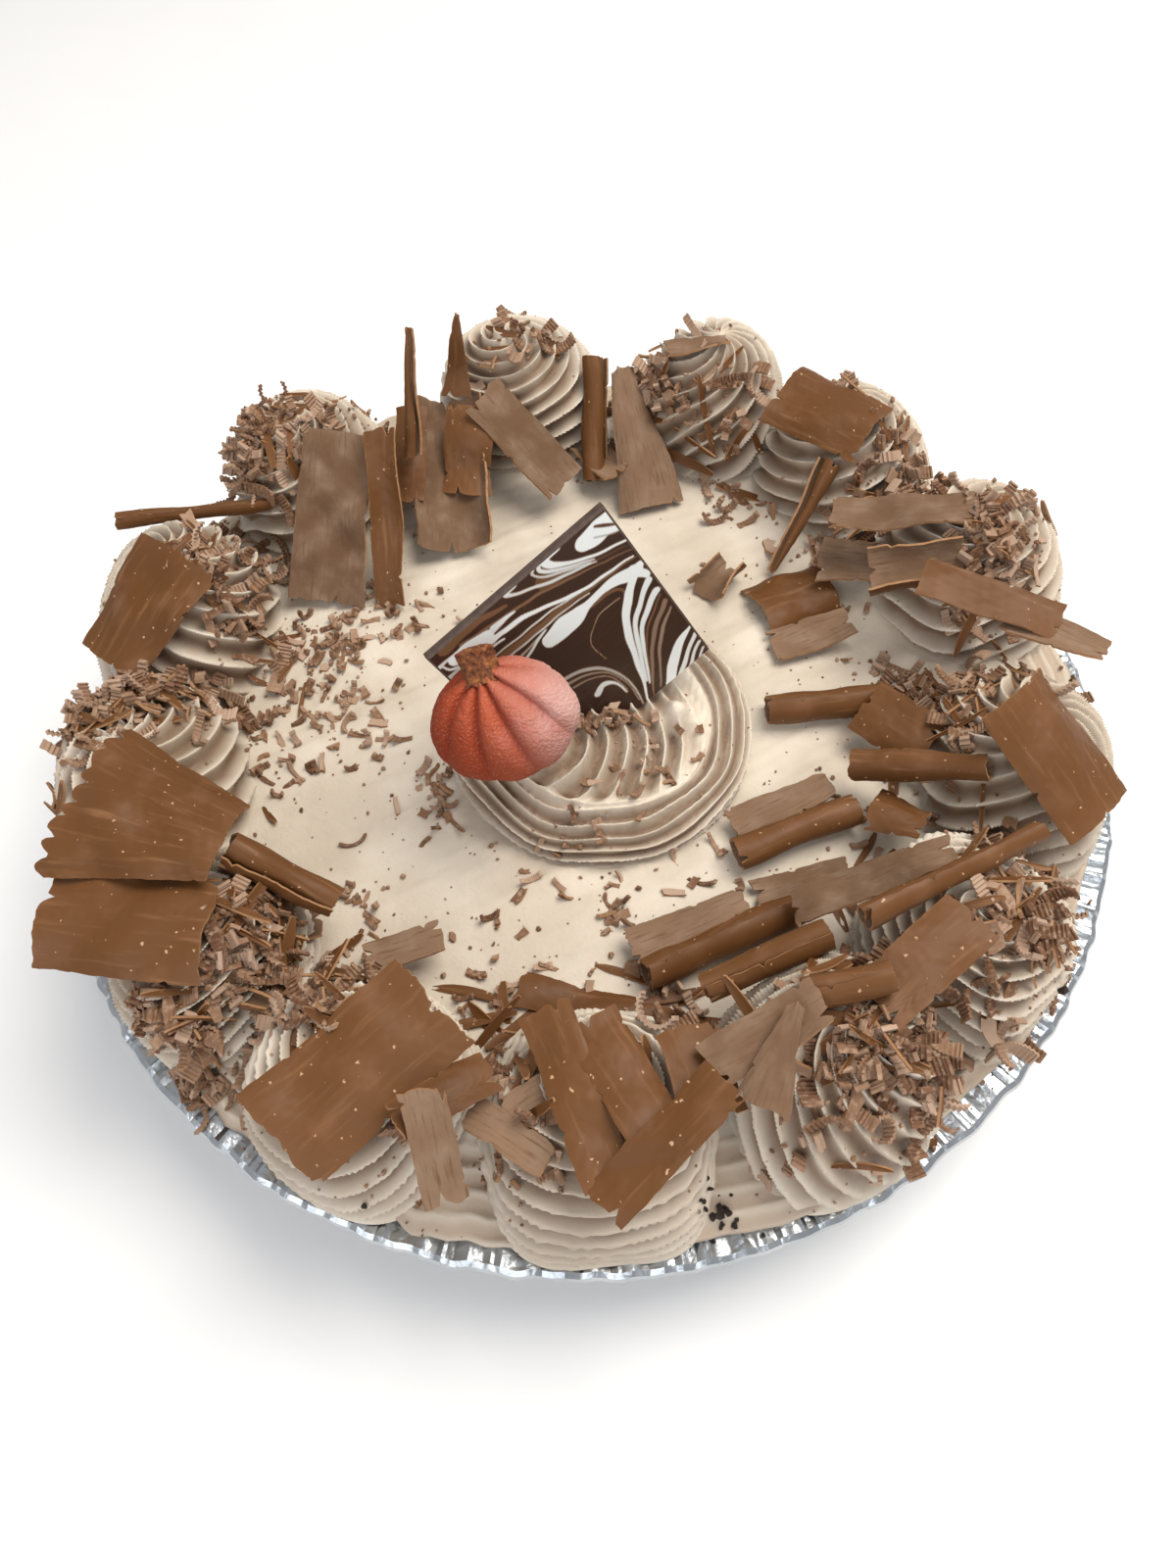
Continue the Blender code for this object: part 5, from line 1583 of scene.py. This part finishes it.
def crumb_points(draw, size):
    """The corners of an irregular lump."""
    corners = ICO_POINTS * size / 2 * draw.uniform(0.6, 1.15, (len(ICO_POINTS), 1))
    return corners * draw.uniform(0.6, 1.1, 3)


def icosahedron():
    """The twenty-sided solid that every crumb starts from."""
    bm = bmesh.new()
    bmesh.ops.create_icosphere(bm, subdivisions=1, radius=1.0)
    points = np.array([vert.co[:] for vert in bm.verts])
    faces = np.array([[vert.index for vert in face.verts] for face in bm.faces])
    bm.free()
    return points, faces


ICO_POINTS, ICO_FACES = icosahedron()


def lying(points, x, y, height, slope_x, slope_y, draw, tilt):
    """Points turned any way about, tilted with the ground and a little more, and set down."""
    steep = math.hypot(slope_x, slope_y)
    ease = min(1.0, STEEPEST / steep) if steep > 0 else 1.0
    normal = Vector((-slope_x * ease, -slope_y * ease, 1.0)).normalized()
    normal += Vector(draw.normal(0, tilt, 3))
    basis = normal.normalized().to_track_quat("Z", "Y").to_matrix()
    turn = basis @ Matrix.Rotation(draw.uniform(0, 2 * math.pi), 3, "Z")
    return points @ np.array(turn).T + (x, y, height)


print("a crumb has", len(ICO_FACES), "faces")

# %% [markdown]
# ## Heaps and drifts
# The shavings are thickest on top of the rosettes at the right, in the gaps between them
# and behind the tall curls at the left, and thin out over the smooth cream. A single even
# scatter would lose that, so each heap below is a middle, a spread in millimetres and how
# many pieces fell there. Where a large curl shelters the cream, nothing falls.

# %% Heaps
# x, y, spread and number of pieces
ROSETTE_HEAPS = (
    (87, 18, 7, 120), (98, 28, 6, 40), (81, -4, 6, 110), (84, -28, 7, 60), (78, -66, 7, 120),
    (92, -54, 6, 30), (42, -92, 8, 110), (58, -84, 8, 90), (54, -104, 8, 40),
    (-14, -96, 6, 60), (4, -104, 7, 30), (-46, -82, 7, 80), (-30, -100, 7, 40),
    (-80, -77, 6, 110), (-66, -66, 7, 120), (-94, -62, 6, 30), (-99, -10, 6, 140),
    (-86, 0, 7, 60), (-88, 24, 6, 120), (-80, 16, 6, 50), (20, 86, 6, 90), (36, 74, 6, 40),
    (-72, 62, 8, 120), (-82, 50, 7, 50), (78, 54, 8, 90), (66, 44, 7, 40), (-13, 92, 7, 30),
    (-42, 78, 7, 70), (58, 72, 7, 40), (14, -76, 7, 40), (98, -8, 6, 30), (-112, -26, 5, 20),
)
CREAM_DRIFTS = (
    (-56, 26, 8, 60), (-62, 10, 7, 40), (-46, 36, 8, 34), (-31, -22, 4, 40), (-48, -2, 10, 26),
    (-66, -12, 6, 24), (2, -54, 6, 16), (-20, -66, 8, 24), (30, -50, 8, 14), (64, 14, 8, 24),
    (-54, -54, 7, 50), (60, -34, 6, 34), (40, 52, 10, 8), (-8, -44, 9, 10),
)
TILE_FOOT = (
    (0, -11, 2.0, 20), (7, -10, 2.0, 22), (16, -18, 7, 16), (8, -30, 8, 14), (-12, -36, 6, 10),
)
# and of the longer strips that broke off round the large curls
STRIP_HEAPS = (
    (-64, -58, 6, 12), (-48, -74, 5, 8), (-22, -76, 5, 6), (8, -72, 5, 6), (62, -48, 7, 10),
    (74, -18, 6, 6), (82, 8, 6, 6), (-58, 58, 7, 8), (-86, 20, 6, 7), (-96, -10, 7, 8),
    (40, 70, 6, 5), (70, 50, 7, 6), (-4, -98, 7, 8), (-34, -92, 7, 8), (46, -88, 8, 8),
)
MAP_MARGIN = 5              # mm at the border of the map that stays free
FOOTPRINT = 0.7             # share of a flake's length that lifts what lies on it
LIFT = 0.55                 # share of its thickness by which it does


def scatter(name, heaps, share, shape_of, finishes, seed, tilt=0.35, scale=1.0):
    """One joined piece of a kind of flake, strewn over the heaps."""
    draw = np.random.default_rng(seed)
    members = []
    for middle_x, middle_y, spread, number in heaps:
        for _ in range(round(number * share)):
            x, y = draw.normal(middle_x, spread), draw.normal(middle_y, spread)
            if math.hypot(x, y) > REACH - MAP_MARGIN or sheltered(x, y):
                continue
            middle, thickness = shape_of(draw)
            middle = middle * scale
            length = float(np.ptp(middle[..., 0]))
            ground = CREAM_GROUND.land(x, y, length * FOOTPRINT, thickness * LIFT)
            height, slope_x, slope_y = ground
            cut = middle[..., :2] + draw.uniform(0, 300)
            shape = two_sided(middle, thickness, cut)
            height = height + 0.5 * thickness
            points = lying(shape.points, x, y, height, slope_x, slope_y, draw, tilt)
            tone = np.full(len(points), draw.uniform(0, 1))
            members.append(shape._replace(points=points, tone=tone))
    piece = make_piece(name, joined(members), finishes, sharp=40)
    print(name, len(members))
    return belongs(piece, "milk_chocolate")


print("heaps", len(ROSETTE_HEAPS), "drifts", len(CREAM_DRIFTS), "strip heaps", len(STRIP_HEAPS))

# %% [markdown]
# ## Strewing the shavings
# Small shavings are the same milk chocolate, but more of what shows is torn and dusty, so
# they are matt, paler, and differ more from one to the next. One finish does for all of
# them, with a tone drawn for each. What is strewn first lies deepest, so the thick ribbed
# kind comes before the flakes and splinters, which are then seen whole.

# %% Strewing the shavings


def small_dull():
    """The dull finish of small shavings, with a wider range from dark to pale."""
    made, tree, shader = finish("small_chocolate_shavings", Roughness=0.8, IOR=1.46)
    tone = node(tree, "Attribute", {"attribute_name": "tone"}).outputs["Fac"]
    place = node(tree, "TexCoord").outputs["Object"]
    clouds = node(tree, "TexNoise", None, {"Vector": place, "Scale": per(1.2), "Detail": 3.0})
    stops = ((0.0, "#6d4a32"), (0.35, "#866348"), (0.7, "#9e7e65"), (1.0, "#b79b85"))
    base = node(tree, "ValToRGB", {"stops": stops}, {0: tone})
    colour = blend_colour(tree, threshold(tree, clouds, 0.45, 0.8), base.outputs[0],
                          linear("#ae9179"))
    tree.links.new(colour, shader.inputs["Base Color"])
    relief(tree, shader, clouds, 0.2)
    return made


SMALL = small_dull()
ALL_HEAPS = ROSETTE_HEAPS + TILE_FOOT
ON_CREAM = CREAM_DRIFTS + TILE_FOOT
scatter("ribbed_shavings", ROSETTE_HEAPS, 0.36, ribbed_shaving, [SMALL] * 3, 601)
scatter("ribbed_bits", ON_CREAM, 0.36, ribbed_shaving, [SMALL] * 3, 604, scale=0.5)
scatter("flat_flakes", ROSETTE_HEAPS, 0.2, flat_flake, [SMALL, SMALL, EDGE], 602)
scatter("flat_bits", ON_CREAM, 0.42, flat_flake, [SMALL, SATIN, EDGE], 605, scale=0.6)
scatter("chocolate_slivers", ROSETTE_HEAPS, 0.1, sliver, [SATIN, SMALL, EDGE], 603, tilt=0.25)
scatter("chocolate_strips", STRIP_HEAPS, 1.5, sliver, [SATIN, SMALL, EDGE], 606, tilt=0.2,
        scale=1.4)

# %% [markdown]
# ## Crumbs and dust
# Cutting leaves crumbs a millimetre or two across and a dust that settles everywhere, and
# the crust sheds a few black ones over the edge of the pan. A crumb is an icosahedron whose
# corners are pushed in and out: lumps so small need no more. Noise in the material would
# colour the cream but give the crumbs no shadow.

# %% Crumbs and dust
CRUMB_MARGIN = 4            # mm at the border of the map that stays free
CRUMB_SPREAD = 1.25         # crumbs roll further than shavings
CRUMB_LIFT = 0.2            # share of a crumb's size by which it lifts what lies on it
CRUMB_REST = 0.25           # its middle lies this share of its size over the ground


def sprinkle(name, heaps, share, sizes, seed, crumb=SMALL, slot="milk_chocolate"):
    """One joined piece of crumbs, whose sizes in mm lie in a range."""
    draw = np.random.default_rng(seed)
    members = []
    for middle_x, middle_y, spread, number in heaps:
        for _ in range(round(number * share)):
            x = draw.normal(middle_x, spread * CRUMB_SPREAD)
            y = draw.normal(middle_y, spread * CRUMB_SPREAD)
            if math.hypot(x, y) > REACH - CRUMB_MARGIN or sheltered(x, y):
                continue
            size = draw.uniform(*sizes) * draw.uniform(0.6, 1.0)
            height, slope_x, slope_y = CREAM_GROUND.land(x, y, size, size * CRUMB_LIFT)
            corners = crumb_points(draw, size)
            height = height + CRUMB_REST * size
            points = lying(corners, x, y, height, slope_x, slope_y, draw, 0.4)
            members.append(flat_shape(points, ICO_FACES, tone=draw.uniform(0, 0.8)))
    piece = make_piece(name, joined(members), [crumb], sharp=35)
    print(name, len(members))
    return belongs(piece, slot)


sprinkle("chocolate_crumbs", ALL_HEAPS + CREAM_DRIFTS, 0.55, (0.8, 2.2), 611)
WIDE_DRIFTS = ((-20, 0, 40, 160), (30, -40, 30, 90), (0, 50, 38, 90), (0, -100, 32, 60))
sprinkle("chocolate_dust", WIDE_DRIFTS, 1.0, (0.4, 1.0), 612)
# the rosettes' flanks are flecked all over, well beyond the heaps
FLANKS = tuple((x, y, 1.9 * spread, number // 2) for x, y, spread, number in ROSETTE_HEAPS)
sprinkle("chocolate_flecks", FLANKS, 1.0, (0.7, 1.8), 614)
BLACK_SPOTS = ((22, -113, 2.2, 26), (95, -60, 5, 8), (-60, -100, 12, 8))
sprinkle("black_biscuit_crumbs", BLACK_SPOTS, 1.0, (0.9, 3.0), 613, BLACK_CRUMB, "black_crumb")

# %% [markdown]
# ## Stage and light
# A plain near-white floor and broad soft lights, as in a product studio: an even pale world
# fills the shadows, a panel high on the right of the pie models the ridges, and a weaker one
# at the left front keeps the near side open. A lamp the size of a bulb would cut each shaving
# out with a hard shadow, and no lamp at all would lose the ridges.

# %% Stage and light
FLOOR_HALF = 3.0            # m, far more than any view shows
AIM = Vector((0, 0, 0.05))  # m, the middle of the pie, at which the panels face


def white_floor():
    """Matt board: it takes a soft shadow and mirrors nothing, with clouds too faint to notice."""
    made, tree, shader = finish("matt_white_board", Roughness=0.9, IOR=1.45)
    place = node(tree, "TexCoord").outputs["Object"]
    clouds = node(tree, "TexNoise", None, {"Vector": place, "Scale": per(30), "Detail": 2.0})
    colour = blend_colour(tree, clouds, linear("#f3f2f0"), linear("#f7f6f5"))
    tree.links.new(colour, shader.inputs["Base Color"])
    return made


def make_floor():
    bm = bmesh.new()
    bmesh.ops.create_grid(bm, x_segments=1, y_segments=1, size=FLOOR_HALF)
    mesh = bpy.data.meshes.new("floor")
    bm.to_mesh(mesh)
    bm.free()
    mesh.materials.append(white_floor())
    floor = bpy.data.objects.new("floor", mesh)
    bpy.context.scene.collection.objects.link(floor)
    floor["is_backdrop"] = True


def add_panel(name, place, size, watts, colour):
    """A square soft light that faces the pie, its place and side in metres."""
    light = bpy.data.lights.new(name, "AREA")
    light.size = size
    light.energy = watts
    light.color = linear(colour)[:3]
    panel = bpy.data.objects.new(name, light)
    panel.location = place
    panel.rotation_euler = (AIM - Vector(place)).to_track_quat("-Z", "Y").to_euler()
    bpy.context.scene.collection.objects.link(panel)


def light_world(strength):
    world = bpy.data.worlds.new("studio")
    world.use_nodes = True
    background = world.node_tree.nodes["Background"]
    background.inputs["Color"].default_value = linear("#fbfcff")
    background.inputs["Strength"].default_value = strength
    bpy.context.scene.world = world


make_floor()
light_world(0.50)
add_panel("key_panel", (0.3, 0.12, 0.8), 0.5, 6.9, "#fffaf2")
add_panel("fill_panel", (-0.25, -0.65, 0.6), 0.6, 2.6, "#f6f9ff")
# the colours were chosen as they should look, so no film curve bends them
bpy.context.scene.view_settings.view_transform = "Standard"
print("lights", [each.name for each in bpy.data.lights])

# %% [markdown]
# The dressed pie has to be as large as the solid one, since a shelf or a box is chosen by the
# solid's size.

low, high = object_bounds()
print("dressed model", [round(side * 1000, 1) for side in high - low], "mm")
